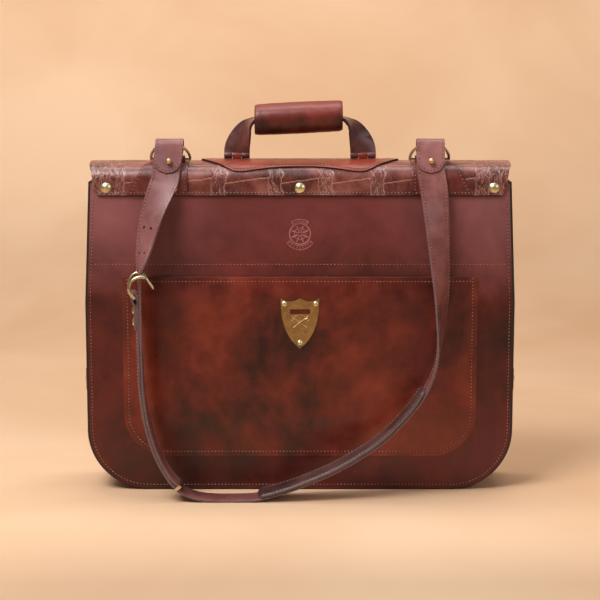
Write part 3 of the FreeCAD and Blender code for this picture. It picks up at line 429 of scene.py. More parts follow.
def leatherSheet(name, columns, rows, place, thickness, outward, edgeRound=0.5, band=(0, 0)):
    # place(u, w) gives a point of the outer face; the wall goes inwards from it.
    # band is the share of each side next to the rim that the dark edge dye covers.
    deselect()
    bpy.ops.mesh.primitive_grid_add(x_subdivisions=columns, y_subdivisions=rows, size=1)
    o = bpy.context.object
    o.name = o.data.name = name
    dyed = []
    for p in o.data.polygons:
        if band[0] and max(abs(p.center.x) + 1 / columns, abs(p.center.y) + 1 / rows) > 0.5:
            dyed.append(p.index)
    for v in o.data.vertices:
        u, w = rimmed(v.co.x + 0.5, columns, band[0]), rimmed(v.co.y + 0.5, rows, band[1])
        v.co = Vector(place(u, w)) * mm
    o.data.materials.append(None)
    o.data.materials.append(None)
    for index in dyed:
        o.data.polygons[index].material_index = 1
    activate(o)
    editAll((bpy.ops.mesh.remove_doubles, {"threshold": 0.00002}))
    total = Vector((0, 0, 0))
    for p in o.data.polygons:
        total += p.normal * p.area
    if total.dot(Vector(outward)) < 0:
        editAll((bpy.ops.mesh.flip_normals, {}))
    wall = o.modifiers.new("wall", "SOLIDIFY")
    wall.thickness = thickness * mm
    wall.offset = -1
    wall.material_offset_rim = 1
    applyAll(o)
    if edgeRound:
        roundRim(o, edgeRound)
    return o


def rimmed(t, count, band):
    # Moves the second line of a grid to the inner border of the dyed band.
    if not band or t < 1e-6 or t > 1 - 1e-6:
        return t
    step = 1 / count
    return lerp(band, 1 - band, (t - step) / (1 - 2 * step))


def roundRim(o, width):
    bevel = o.modifiers.new("rim", "BEVEL")
    bevel.width = width * mm
    bevel.segments = 2
    bevel.limit_method = "ANGLE"
    bevel.angle_limit = math.radians(50)
    bevel.material = -1
    applyAll(o)


def strapSections(stations, step=3.0):
    # Smooth line through the stations, as (point, across, up) every step.
    dense = []
    last = len(stations) - 1
    for i in range(last):
        p0 = stations[max(i - 1, 0)][0]
        p1, p2 = stations[i][0], stations[i + 1][0]
        p3 = stations[min(i + 2, last)][0]
        count = max(1, round((p2 - p1).length / step))
        for k in range(count):
            t = k / count
            a = (p1 * 2 + (p2 - p0) * t + (p0 * 2 - p1 * 5 + p2 * 4 - p3) * t ** 2
                 + (p1 * 3 - p0 - p2 * 3 + p3) * t ** 3) * 0.5
            dense.append((a, stations[i][1].lerp(stations[i + 1][1], t)))
    dense.append((stations[-1][0], stations[-1][1]))
    framed = []
    for i, (p, across) in enumerate(dense):
        run = (dense[min(i + 1, len(dense) - 1)][0] - dense[max(i - 1, 0)][0]).normalized()
        up = run.cross(across).normalized()
        framed.append((p, up.cross(run).normalized(), up))
    return framed


def lengths(framed):
    total, out = 0.0, [0.0]
    for a, b in zip(framed, framed[1:]):
        total += (b[0] - a[0]).length
        out.append(total)
    return out


def strapPiece(name, framed, width, thickness, startRound=0.0, endRound=0.0, crown=0.25, corner=0.45,
               shareAt=None):
    # A strap section swept along framed points: two faces, two cut edges, rounded ends if asked.
    half, t = width / 2, thickness / 2
    section = [(-1.0, -t + corner), (-1.0, t - corner), (-1 + corner / half, t), (-0.6, t + crown),
               (0.0, t + crown * 1.4), (0.6, t + crown), (1 - corner / half, t), (1.0, t - corner),
               (1.0, -t + corner), (1 - corner / half, -t), (0.0, -t), (-1 + corner / half, -t)]
    run = lengths(framed)
    total = run[-1]
    verts, faces, kinds = [], [], []
    rings = len(framed)
    for (p, across, up), s in zip(framed, run):
        share = shareAt(s, total) if shareAt else 1.0
        if startRound and s < startRound:
            share = math.sqrt(max(0.0, 1 - ((startRound - s) / startRound) ** 2))
        if endRound and total - s < endRound:
            share = min(share, math.sqrt(max(0.0, 1 - ((endRound - total + s) / endRound) ** 2)))
        share = max(share, 0.02)
        for a, n in section:
            verts.append(tuple((p + across * (a * half * share) + up * n) * mm))
    sides = len(section)
    for i in range(rings - 1):
        for k in range(sides):
            j = (k + 1) % sides
            faces.append((i * sides + k, i * sides + j, (i + 1) * sides + j, (i + 1) * sides + k))
            kinds.append(1 if k in (0, 7) else 0)
    faces.append(tuple(range(sides - 1, -1, -1)))
    faces.append(tuple(range((rings - 1) * sides, rings * sides)))
    kinds += [1, 1]
    o = meshPiece(name, verts, faces)
    o.data.materials.append(None)
    o.data.materials.append(None)
    o.data.polygons.foreach_set("material_index", kinds)
    return facingOut(o)


stitch = {"length": 2.7, "pitch": 4.5, "width": 1.15, "height": 0.6, "slant": 12.0, "hole": 1.7}


def stitchShape():
    deselect()
    bpy.ops.mesh.primitive_uv_sphere_add(segments=6, ring_count=4, radius=1)
    o = bpy.context.object
    shape = ([v.co.copy() for v in o.data.vertices], [tuple(p.vertices) for p in o.data.polygons])
    bpy.data.objects.remove(o)
    return shape


stitchVerts, stitchFaces = stitchShape()


def sew(name, spots):
    # At each spot, a (point, direction, up) on the face, a thread stitch and, after it, a dark disc of
    # painted shadow for the needle hole.
    verts, faces, kinds = [], [], []
    slant = math.radians(stitch["slant"])
    for point, run, up in spots:
        run, up = Vector(run).normalized(), Vector(up).normalized()
        side = up.cross(run).normalized()
        turned = (run * math.cos(slant) + side * math.sin(slant)).normalized()
        turnedSide = up.cross(turned).normalized()
        hole = Vector(point) + run * (stitch["pitch"] / 2)
        for middle, a, b, long, wide, high, sink, kind in (
                (Vector(point), turned, turnedSide, stitch["length"], stitch["width"], stitch["height"],
                 0.12, 0),
                (hole, run, side, stitch["hole"], stitch["width"] * 0.95, 0.16, 0.0, 1)):
            first = len(verts)
            for v in stitchVerts:
                drop = 0.35 * v.x * v.x if kind == 0 else 0
                p = middle + a * (v.x * long / 2) + b * (v.y * wide / 2) + up * (v.z * high - drop + sink)
                verts.append(tuple(p * mm))
            faces += [tuple(first + i for i in f) for f in stitchFaces]
            kinds += [kind] * len(stitchFaces)
    o = meshPiece(name, verts, faces)
    o.data.materials.append(thread)
    o.data.materials.append(needleHoleShadow)
    o.data.polygons.foreach_set("material_index", kinds)
    facingOut(o)
    bpy.ops.object.shade_smooth()
    return o


def seam(points, surface):
    # Even spots along a flat polyline of (x, z), lifted on a surface(x, z) -> (point, up).
    spots, left = [], stitch["pitch"] / 2
    for (x0, z0), (x1, z1) in zip(points, points[1:]):
        size = math.hypot(x1 - x0, z1 - z0)
        at = left
        while at < size:
            t = at / size
            x, z = lerp(x0, x1, t), lerp(z0, z1, t)
            p, up = surface(x, z)
            q, _ = surface(x + (x1 - x0) / size, z + (z1 - z0) / size)
            spots.append((p, q - p, up))
            at += stitch["pitch"]
        left = at - size
    return spots


def strapSeams(framed, width, thickness, inset, face=1, skipStart=0.0, skipEnd=0.0, crown=0.25):
    # Stitches along both edges of a strap, on its outer (1) or inner (-1) face.
    run = lengths(framed)
    spots = []
    for side in (-1, 1):
        at = skipStart + stitch["pitch"] / 2
        i = 0
        while at < run[-1] - skipEnd:
            while run[i + 1] < at:
                i += 1
            t = (at - run[i]) / (run[i + 1] - run[i])
            a, b = framed[i], framed[i + 1]
            across, up = a[1].lerp(b[1], t), a[2].lerp(b[2], t)
            lift = thickness / 2 + (crown * 0.7 if face > 0 else 0)
            p = a[0].lerp(b[0], t) + across * (side * (width / 2 - inset)) + up * (lift * face)
            spots.append((p, b[0] - a[0], up * face))
            at += stitch["pitch"]
    return spots


tray = {"half": 280.0, "topHalf": 273.0, "taper": 250.0, "top": 408.0, "corner": 80.0, "face": 46.5,
        "reveal": 1.5, "panel": 2.5, "gusset": 3.5, "puff": 2.0, "seamHeight": 301.0, "stitchInset": 7.0,
        "cornerRows": 0.22, "underYoke": 20.0, "edgeDye": (1.9 / 557, 1.9 / 407)}


def trayHalf(z, inset=0.0):
    half, radius, low = tray["half"] - inset, tray["corner"] - inset, inset
    if z < low + radius:
        return half - radius + math.sqrt(max(0.0, radius ** 2 - (low + radius - z) ** 2))
    if z < tray["taper"]:
        return half
    fall = (tray["half"] - tray["topHalf"]) * (z - tray["taper"]) / (tray["top"] - tray["taper"])
    return half - fall


def cornerArc(half, low, radius, count):
    # The right lower corner of an outline, as (x, z), from the bottom up.
    turns = [math.pi / 2 * k / count for k in range(count + 1)]
    return [(half - radius + radius * math.sin(a), low + radius - radius * math.cos(a)) for a in turns]


def trayPath(inset, top):
    # The tray's outline as (x, z), from the top left down, along the bottom and up the right.
    right = cornerArc(tray["half"] - inset, inset, tray["corner"] - inset, 32)
    right += [(trayHalf(z, inset), z) for z in (tray["taper"], (tray["taper"] + top) / 2, top)]
    return [(-x, z) for x, z in reversed(right)] + right


def panelFace(x, z):
    # How far the panel's leather stands in front of the middle plane.
    edge = min(trayHalf(z) - abs(x), z, tray["top"] - tray["underYoke"] - z) - tray["stitchInset"] - 2
    wave = noise.noise(Vector((x / 70, z / 90, 3.1))) * 0.6
    channel = math.exp(-((z - tray["seamHeight"]) / 2.2) ** 2) * 0.7
    return tray["face"] + (tray["puff"] + wave) * smooth(edge / 55) - channel


def cornerHeight(w, low, radius, top, share):
    # Rows of a sheet with round lower corners: share of them are spaced along the corners' arc.
    if w < share:
        return low + radius * (1 - math.cos(w / share * math.pi / 2))
    return lerp(low + radius, top, (w - share) / (1 - share))


def traySpot(u, w, inset):
    z = cornerHeight(w, inset, tray["corner"] - inset, tray["top"], tray["cornerRows"])
    return (2 * u - 1) * trayHalf(z, inset), z


def panelPoint(side):
    def place(u, w):
        x, z = traySpot(u, w, tray["reveal"])
        return x * -side, side * panelFace(x, z), z
    return place


def faceSurface(side, depth):
    # The outer face of a sheet that stands depth(x, z) from the middle plane, for its stitches.
    def surface(x, z):
        y = depth(x, z)
        slopeX = (depth(x + 1, z) - depth(x - 1, z)) / 2
        slopeZ = (depth(x, z + 1) - depth(x, z - 1)) / 2
        up = Vector((-slopeX * -side, side, -slopeZ)).normalized()
        return Vector((x * -side, side * y, z)), up
    return surface


def makeTray(side, half):
    # side is -1 for the front half and 1 for the back one
    panel = leatherSheet(half + "PanelLeather", 170, 130, panelPoint(side), tray["panel"],
                         (0, side, 0), 0.5, tray["edgeDye"])
    finishPiece(panel, [panelLeather, cutEdge], half + "_half", [half + "_panel"])
    surface = faceSurface(side, panelFace)
    spots = seam(trayPath(tray["stitchInset"], tray["top"] - tray["underYoke"]), surface)
    across = trayHalf(tray["seamHeight"]) - tray["stitchInset"] - 3
    spots += seam([(-across, tray["seamHeight"]), (across, tray["seamHeight"])], surface)
    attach(sew(half + "PanelStitches", spots), half + "_half")

    path = trayPath(0, tray["top"])
    count = len(path) - 1

    def stepped(u, w):  # one row of faces for each piece of the outline, so the corners stay true
        x, z = path[min(count, int(round(u * count)))]
        return x * -side, side * w * (tray["face"] - tray["panel"]), z

    band = leatherSheet(half + "GussetLeather", count, 6, stepped, tray["gusset"], (0, 0, -1), 0.6)
    finishPiece(band, [panelLeather, cutEdge], half + "_half",
                [half + "_gusset_bottom", half + "_gusset_left", half + "_gusset_right"])


stamp = {"height": 340.5, "ring": 13.4, "raise": 0.5, "inner": 15.4, "top": 19.2, "foot": 20.6}


def makeStamp():
    # Blind-stamped device: a ring, a fan of rays and two plain banners, raised from the leather.
    height = stamp["height"]
    shapes = []

    def line(points, width):
        left, right = [], []
        for i, (x, z) in enumerate(points):
            ahead, back = points[min(i + 1, len(points) - 1)], points[max(i - 1, 0)]
            run = Vector((ahead[0] - back[0], 0, ahead[1] - back[1])).normalized()
            left.append((x - run.z * width / 2, z + run.x * width / 2))
            right.append((x + run.z * width / 2, z - run.x * width / 2))
        shapes.append((left, right))

    def arc(radius, start, stop, width, centre=(0, 0)):
        count = max(6, int(abs(stop - start) / 6))
        line([(centre[0] + radius * math.cos(math.radians(lerp(start, stop, k / count))),
               centre[1] + radius * math.sin(math.radians(lerp(start, stop, k / count))))
              for k in range(count + 1)], width)

    arc(stamp["ring"], 0, 360, 1.9)
    inner = stamp["inner"]
    for start, stop, far in ((54, 126, stamp["top"]), (214, 326, stamp["foot"])):
        arc(inner, start, stop, 1.2)
        arc(far, start - 1, stop + 1, 1.3)
        for turn in (start, stop):
            a = math.radians(turn)
            line([(inner * math.cos(a), inner * math.sin(a)), (far * math.cos(a), far * math.sin(a))], 1.2)
        for k in range(9):  # plain bars where a banner would carry its words
            a = math.radians(lerp(start + 6, stop - 6, k / 8))
            line([((inner + 0.9) * math.cos(a), (inner + 0.9) * math.sin(a)),
                  ((far - 0.9) * math.cos(a), (far - 0.9) * math.sin(a))], 1.3)
    for k in range(8):
        a = math.radians(22.5 + k * 45)
        line([(3.6 * math.cos(a), 3.6 * math.sin(a)), (11.4 * math.cos(a), 11.4 * math.sin(a))], 2.2)
    arc(2.6, 0, 360, 1.6)
    arc(7.4, 0, 360, 1.2)
    verts, faces = [], []
    for left, right in shapes:
        start = len(verts)
        for (x0, z0), (x1, z1) in zip(left, right):
            for x, z, up in ((x0, z0, 0), (lerp(x0, x1, 0.25), lerp(z0, z1, 0.25), 1),
                             (lerp(x0, x1, 0.75), lerp(z0, z1, 0.75), 1), (x1, z1, 0)):
                y = -panelFace(x, z + height) - (stamp["raise"] if up else -0.05)
                verts.append(tuple(Vector((x, y, z + height)) * mm))
        for i in range(len(left) - 1):
            for j in range(3):
                a = start + i * 4 + j
                faces.append((a, a + 1, a + 5, a + 4))
    o = meshPiece("stampRelief", verts, faces)
    activate(o)
    editAll((bpy.ops.mesh.extrude_region_move, {"TRANSFORM_OT_translate": {"value": (0, 0.4 * mm, 0)}}))
    facingOut(o)
    finishPiece(o, [stampLeather], "front_half")


makeTray(-1, "front")
makeStamp()
makeTray(1, "back")
say("trays")


yoke = {"half": 273.5, "drop": 17.0, "leather": 2.2, "face": 48.7, "shoulder": 20.0, "crown": 158.802,
        "crownCentre": 273.198, "foldBase": 409.0, "run": 28.7, "corner": 9.0, "taper": 6.0,
        "patch": 2.0, "hem": 3.2, "seamEnd": 18.0, "blendFrom": 413.5, "blendTo": 404.5}


archLean = math.atan2(yoke["run"], yoke["foldBase"] - yoke["crownCentre"])
archCrown = yoke["crown"] * archLean
archFold = archCrown + yoke["shoulder"] * (math.pi / 2 - archLean)
archLength = archFold + yoke["drop"] + 1


def archPoint(s, offset):
    # A point (y, z) and its outward direction, s along the fold from the ridge to the lower edge.
    crown, shoulder = yoke["crown"], yoke["shoulder"]
    if s < archCrown:
        a = s / crown
        d = Vector((math.sin(a), math.cos(a)))
        return Vector((0, yoke["crownCentre"])) + d * (crown + offset), d
    if s < archFold:
        a = archLean + (s - archCrown) / shoulder
        d = Vector((math.sin(a), math.cos(a)))
        return Vector((yoke["run"], yoke["foldBase"])) + d * (shoulder + offset), d
    return Vector((yoke["run"] + shoulder + offset, yoke["foldBase"] - (s - archFold))), Vector((1, 0))


tiles = {"bands": (-236, -170, -104, -32, 34, 101, 166, 234), "pitch": 66.0, "band": 8.5, "rise": 14.0,
         "climb": 9.5, "ends": 240.0}


def scaleMarks(x, s):
    # The embossing at x and s: how near the long creases are, and how wrinkled the leather is.
    bands = tiles["bands"]
    wobble = noise.noise(Vector((s / 14, x / 90, 4.4))) * 3.0
    off = min((x + wobble - b for b in bands), key=abs)
    low = max([b for b in bands if b <= x] or [bands[0] - tiles["pitch"]])
    t = min(1.0, max(0.0, (x - low) / tiles["pitch"]))
    height = tiles["rise"] + tiles["climb"] * t + noise.noise(Vector((x / 12, 1.0, 8.0))) * 1.1
    up = archLength - s
    creases = [up - height, up - height - 27 + 5 * t, up - height - 50 - 6 * t]
    wall = abs(off) - tiles["band"] - noise.noise(Vector((s / 6, off / 9, 2.0))) * 2.4
    wrinkled = smooth((tiles["band"] + 2.5 - abs(off)) / 5)
    if abs(x) > tiles["ends"]:
        wrinkled = max(wrinkled, smooth((abs(x) - tiles["ends"]) / 10))
    inside = 1 - wrinkled
    near = max([math.exp(-(c / 0.75) ** 2) * inside for c in creases] + [0.75 * math.exp(-(wall / 0.8) ** 2)])
    step = 0.22 * math.tanh(creases[0] / 2.5) * inside
    folds = abs(noise.noise(Vector((x / 3.4, s / 13, 1.7))))
    folds += 0.6 * abs(noise.noise(Vector((x / 6, s / 5, 5.1))))
    relief = step - 0.4 * near - wrinkled * 0.75 * math.exp(-(folds / 0.1) ** 2)
    return near, wrinkled, relief


def hemSpots(start, stop, lift, side, sign=1):
    # A level row of stitches just above the yoke's lower edge.
    spots, x = [], start
    (y, z), _ = archPoint(archLength - yoke["hem"], lift)
    while x < stop:
        spots.append((Vector((sign * x, side * y, z)), (1, 0, 0), (0, side, 0)))
        x += stitch["pitch"]
    return spots


def yokePiece(side, half):
    lowCut = yoke["corner"]

    def place(u, w):
        s = w * archLength
        ragged = noise.noise(Vector((s / 9, side * 3.0, 0))) * 0.7
        halfWidth = yoke["half"] - yoke["taper"] * smooth((s - 22) / (archFold - 22)) + min(0.0, ragged)
        if s > archLength - lowCut:
            halfWidth -= (s - archLength + lowCut) * 0.9
        x = (2 * u - 1) * halfWidth
        near, wrinkled, relief = scaleMarks(x * -side, s)
        lift = noise.noise(Vector((x / 35, s / 20, 9.0))) * 0.25
        lip = 1.3 * smooth((s - archLength + 6) / 6)  # the lower edge stands off the panel
        (y, z), _ = archPoint(s, relief + lift + lip)
        return x, side * y, z + noise.noise(Vector((x / 60, 0.5, side))) * 0.5 * smooth((s - archFold) / 10)

    o = leatherSheet(half + "YokeLeather", 470, 68, place, yoke["leather"], (0, side, 1), 0)
    marks = [o.data.attributes.new(name, "FLOAT", "POINT") for name in ("crease", "wrinkle")]
    for i, v in enumerate(o.data.vertices):
        x, y, z = v.co / mm
        s = archDistance(y * side, z)
        for mark, value in zip(marks, scaleMarks(x * -side, s)):
            mark.data[i].value = value
    finishPiece(o, [scaleLeather, cutEdge])
    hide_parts(half + "_yoke_apron")
    if half == "front":
        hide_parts("yoke_top")
    bend(o)
    reach = yoke["half"] - yoke["seamEnd"]
    bend(sew(half + "YokeStitches", hemSpots(-reach, reach, 0.9, side)))


def yokeShadowStrip(side, half):
    # Painted shadow: a dark backing strip that shows below the yoke's lower edge, where the shadow line
    # falls.
    def place(u, w):
        (y, z), _ = archPoint(archLength - 3 + w * 4.6, -0.5)
        return (2 * u - 1) * (yoke["half"] - yoke["taper"] - 8), side * y, z

    o = leatherSheet(half + "YokeShadowStrip", 60, 2, place, 1.4, (0, side, 0), 0)
    finishPiece(o, [cutEdge, cutEdge], half + "_half")


def archDistance(y, z):
    # The way along the fold, from the ridge, to a point on or just off the yoke.
    if z <= yoke["foldBase"]:
        return archFold + yoke["foldBase"] - z
    a = math.atan2(y, z - yoke["crownCentre"])
    if a < archLean:
        return a * yoke["crown"]
    a = math.atan2(y - yoke["run"], z - yoke["foldBase"])
    return archCrown + (a - archLean) * yoke["shoulder"]


def bend(o):
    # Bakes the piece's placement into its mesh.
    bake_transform(o)


patch = {"inner": 144.5, "outer": 195.0, "fold": 214.0, "foot": 223.0, "widen": 22.0}


def patchSide(s):
    # The patch widens outwards on its way down the fold.
    return between([(patch["widen"], patch["outer"]), (archFold, patch["fold"]),
                    (archLength, patch["foot"])], s)


def patchPieces(side, half):
    for sign, word, node in ((-1, "Left", "left"), (1, "Right", "right")):
        def place(u, w):
            s = w * archLength
            x = lerp(patch["inner"], patchSide(s), u)
            (y, z), _ = archPoint(s, yoke["patch"] + noise.noise(Vector((x / 30, s / 30, 2))) * 0.2)
            return sign * x, side * y, z

        o = leatherSheet(half + "Patch" + word, 40, 46, place, yoke["patch"], (0, side, 1), 0.5)
        finishPiece(o, [patchLeather, cutEdge])
        if half == "front":
            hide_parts("ring_patch_" + node)
        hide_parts(half + "_patches")
        bend(o)
        spots = []
        for inset, edge in ((4.0, patchSide), (-3.5, lambda s: patch["inner"])):
            s = 6.0
            while s < archLength - 4:
                (y, z), d = archPoint(s, yoke["patch"] + 0.1)
                (y2, z2), _ = archPoint(s + 1, yoke["patch"] + 0.1)
                p = Vector((sign * (edge(s) - inset), side * y, z))
                q = Vector((sign * (edge(s + 1) - inset), side * y2, z2))
                spots.append((p, q - p, (0, side * d.x, d.y)))
                s += stitch["pitch"] * 0.96
        spots += hemSpots(150.0, 218.0, yoke["patch"] + 0.1, side, sign)
        bend(sew(half + "PatchStitches" + word, spots))


for side, half in ((-1, "front"), (1, "back")):
    yokePiece(side, half)
    yokeShadowStrip(side, half)
    patchPieces(side, half)
say("yoke")

handle = {"leg": 82.7, "strap": 27.5, "foot": 33.5, "anchor": 11.5, "thick": 4.5, "base": 2.5, "axis": 439.0,
          "rise": 49.0, "grip": 17.0, "gripLength": 112.5, "gripShift": -1.8, "tilt": 2.7, "baseHalf": 129.0,
          "baseSeam": 3.5, "knuckle": 4.3, "knuckleGap": 0.5,
          "legRoute": ((82.7, 3, 0), (81.7, 12, 12), (77.2, 25.5, 31), (70.9, 37.5, 52), (64.4, 43.6, 68),
                       (57.7, 47.2, 80), (50, 48.8, 88), (40, 49, 90))}
baseDepth = [(0.0, 39.5), (18.0, 39.7), (36.7, 41.0), (50.0, 42.6), (60.7, 43.8), (70.0, 44.8), (78.0, 45.1),
             (86.0, 44.4), (94.0, 41.4), (103.0, 35.0), (111.7, 26.5), (121.0, 13.0), (129.0, 0.3)]


def baseOutline(x):
    # The base's depth in plan at x, as a way along the arch.
    y = between(baseDepth, abs(x))
    if y < yoke["run"] + yoke["shoulder"] * math.sin(archLean):
        return yoke["crown"] * math.asin(y / yoke["crown"])
    a = math.asin((y - yoke["run"]) / yoke["shoulder"])
    return archCrown + (a - archLean) * yoke["shoulder"]


def archAcross(t, offset):
    # Signed distance over the ridge: front is negative.
    (y, z), d = archPoint(abs(t), offset)
    return Vector((math.copysign(y, t), z)), Vector((math.copysign(d.x, t), d.y))


def handleBase():
    def place(u, w):
        x = (2 * u - 1) * handle["baseHalf"]
        t = (2 * w - 1) * baseOutline(x)
        (y, z), _ = archAcross(t, handle["base"])
        return x, y, z

    o = leatherSheet("handleBaseLeather", 120, 28, place, handle["base"], (0, 0, 1), 0.6)
    finishPiece(o, [baseLeather, cutEdge], "spine", ["handle_base"])
    spots = []
    for side in (-1, 1):
        x = -118.0
        while x < 118:
            a, d = archAcross(side * (baseOutline(x) - handle["baseSeam"]), handle["base"] + 0.1)
            b, _ = archAcross(side * (baseOutline(x + 1) - handle["baseSeam"]), handle["base"] + 0.1)
            run = Vector((1, b.x - a.x, b.y - a.y))
            spots.append((Vector((x, a.x, a.y)), run, (0, d.x, d.y)))
            x += stitch["pitch"] / run.length
    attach(sew("handleBaseStitches", spots), "spine")


def handleStations():
    right = []
    for x, rise, turn in handle["legRoute"]:
        spin = math.radians(turn)
        right.append((Vector((x, 0, handle["axis"] + rise)), Vector((math.cos(spin), math.sin(spin), 0))))
    left = [(Vector((-p.x, 0, p.z)), Vector((-w.x, w.y, 0))) for p, w in right]
    return right + list(reversed(left))


def footShare(s, total):
    # The legs are wider at their feet than under the grip.
    return lerp(handle["foot"] / handle["strap"], 1.0, smooth(min(s, total - s) / 55))


def makeHandle():
    framed = strapSections(handleStations())
    o = strapPiece("handleStrapLeather", framed, handle["strap"], handle["thick"], 0, 0, 0.3, 0.8, footShare)
    finishPiece(o, [legLeather, cutEdge], "handle", ["handle_strap"])
    spots = strapSeams(framed, handle["strap"], handle["thick"], 2.6)[::2]
    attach(sew("handleStrapStitches", spots), "handle")
    # Knuckles: the foot of each leg wraps its pin on both sides of the anchor loop.
    gap = handle["knuckleGap"]
    size = (handle["foot"] - handle["anchor"]) / 2 - gap
    for x in (-handle["leg"], handle["leg"]):
        for side in (-1, 1):
            middle = x + side * (handle["anchor"] / 2 + gap + size / 2)
            deselect()
            bpy.ops.mesh.primitive_cylinder_add(vertices=32, radius=handle["knuckle"] * mm, depth=size * mm,
                                                location=Vector((middle, 0, handle["axis"])) * mm,
                                                rotation=(0, math.pi / 2, 0))
            knuckle = bpy.context.object
            knuckle.name = ("handleKnuckle" + ("Left" if x < 0 else "Right")
                            + ("In" if side * x < 0 else "Out"))
            bpy.ops.object.transform_apply(location=True, rotation=True, scale=True)
            soft = knuckle.modifiers.new("softEdge", "BEVEL")
            soft.width, soft.segments = 0.8 * mm, 3
            applyAll(knuckle)
            finishPiece(knuckle, [legLeather], "handle")


def makeGrip():
    # Rolled leather: round below, gathered to a sewn flange along the top.
    radius, length = handle["grip"], handle["gripLength"]
    tilt = math.tan(math.radians(handle["tilt"]))

    def ring(a, x):
        swell = 1 + 0.03 * math.cos((x / length) * math.pi * 1.2)
        r = radius * swell * (1.0 + 0.015 * noise.noise(Vector((x / 14, a * 1.5, 5))))
        r -= max(0.0, abs(x) - length / 2 + 2.5) * 0.5
        y, z = r * math.sin(a), r * math.cos(a)
        lift = math.exp(-(a / 0.42) ** 2)
        y *= 1 - 0.45 * lift
        z += 1.6 * lift - 0.8
        return y, z

    def place(u, w):
        x = (w - 0.5) * length
        a = (u - 0.5) * 2 * math.pi
        y, z = ring(a, x)
        xx = x + handle["gripShift"]
        return xx, y, handle["axis"] + handle["rise"] + z + xx * tilt

    o = facingOut(leatherSheet("gripLeatherRoll", 64, 56, place, 2.5, (0, 0, 0), 0.5))
    finishPiece(o, [gripLeather, cutEdge], "handle", ["handle_grip"])
    spots = []
    x = -length / 2 + 5
    while x < length / 2 - 5:
        for side in (-1, 1):
            y, z = ring(side * 0.42, x)
            xx = x + handle["gripShift"]
            p = Vector((xx, y, handle["axis"] + handle["rise"] + z + xx * tilt))
            spots.append((p, (1, 0, tilt), (0, side * 0.8, 0.6)))
        x += stitch["pitch"]
    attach(sew("gripStitches", spots), "handle")


handleBase()
makeHandle()
makeGrip()
say("handle")


pocket = {"half": 231.0, "low": 46.0, "top": 285.0, "corner": 57.0, "leather": 2.2, "rise": 3.0,
          "inset": 6.5, "cornerRows": 0.26, "hem": 6.0}


def pocketHalf(z):
    radius, low, half = pocket["corner"], pocket["low"], pocket["half"]
    if z < low + radius:
        return half - radius + math.sqrt(max(0.0, radius ** 2 - (low + radius - z) ** 2))
    return half


def pocketFace(x, z):
    edge = min(pocketHalf(z) - abs(x), z - pocket["low"]) - 9
    mouth = 0.6 + 0.4 * smooth((pocket["top"] - z) / 26)
    top = tray["face"] + pocket["leather"]
    wave = noise.noise(Vector((x / 80, z / 60, 6.2))) * 0.5 * smooth(edge / 50) * smooth(abs(x) / 60)
    full = tray["puff"] + pocket["rise"]
    return top + full * smooth(edge / 48) * mouth + wave


def makePocket():
    def place(u, w):
        z = cornerHeight(w, pocket["low"], pocket["corner"], pocket["top"], pocket["cornerRows"])
        x = (2 * u - 1) * pocketHalf(z)
        return x, -pocketFace(x, z), z
    o = leatherSheet("pocketLeather", 150, 96, place, pocket["leather"], (0, -1, 0), 0.5)
    finishPiece(o, [pocketLeather, pocketEdgeHighlight], "front_half", ["front_pocket"])
    inset = pocket["inset"]
    right = cornerArc(pocket["half"] - inset, pocket["low"] + inset, pocket["corner"] - inset, 24)
    right.append((pocket["half"] - inset, pocket["top"] - 2))
    path = [(-x, z) for x, z in reversed(right)] + right
    surface = faceSurface(-1, pocketFace)
    spots = seam(path, surface)
    hem, wide = pocket["top"] - pocket["hem"], pocket["half"] - 9
    spots += seam([(-wide, hem), (wide, hem)], surface)
    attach(sew("pocketStitches", spots), "front_half")


makePocket()
say("pocket")


strap = {"width": 36.0, "thick": 3.0, "gap": 0.3, "room": 6.4, "tab": 38.0, "leave": 162.0, "ringX": 168.0,
         "ringRadius": 25.3, "lean": 38.0, "barY": -22.0, "barZ": 436.588, "panel": 408.0, "front": 46.5,
         "inset": 3.2, "hole": 2.0, "spread": 13.0, "pitch": 31.0, "pad": 40.0, "padThick": 4.0,
         "slewFrom": 453.0, "slew": 0.13, "holeHeight": 320.0, "buckleHeight": 266.0, "bar": 2.0}
layer = (strap["thick"] + strap["gap"]) / 2
leftUpper = ((-173.5, 10.5, -3.0, 4.0), (-178.5, 14.5, 9.0, 12.0), (-187.5, 20.0, 32.0, 27.0),
             (-194.0, 25.5, 54.0, 39.0), (-200.5, 30.8, 82.0, 54.0), (-204.6, 35.3, 102.0, 70.0),
             (-206.5, 38.0, 115.5, 84.0), (-206.5, 38.5, 130.0, 84.0), (-206.5, 38.5, 150.0, 84.0),
             (-206.5, 38.5, 184.0, 84.0))
leftLower = ((-205.5, 41.0, 200.0, 86.0), (-204.5, 42.5, 172.0, 87.0), (-203.0, 43.5, 144.0, 88.0),
             (-197.0, 45.0, 104.0, 90.0), (-185.5, 46.0, 64.0, 90.0), (-171.0, 46.5, 35.0, 90.0),
             (-155.0, 47.0, 16.0, 90.0))
groundRun = ((-134.0, 47.0, 6.2, 90.0), (-110.0, 47.0, 3.15, 90.0), (-77.0, 47.0, 3.15, 90.0),
             (-54.0, 47.0, 5.0, 90.0))
padRun = ((-28.0, 47.0, 12.0, 90.0), (1.0, 47.0, 22.0, 90.0), (52.0, 47.0, 45.0, 90.0),
          (104.0, 46.5, 79.0, 90.0), (142.0, 46.0, 118.0, 90.0), (161.0, 45.0, 146.0, 90.0))
rightLower = ((173.0, 43.0, 176.0, 94.0), (177.5, 40.0, 206.0, 101.0))
rightUpper = ((179.5, 37.0, 172.0, 113.0), (180.0, 34.0, 140.0, 124.0), (178.5, 30.5, 110.0, 133.0),
              (176.5, 26.0, 80.0, 141.0), (174.0, 19.5, 41.0, 156.0), (171.5, 12.0, 11.0, 172.0),
              (169.5, 7.0, -3.0, 178.0))


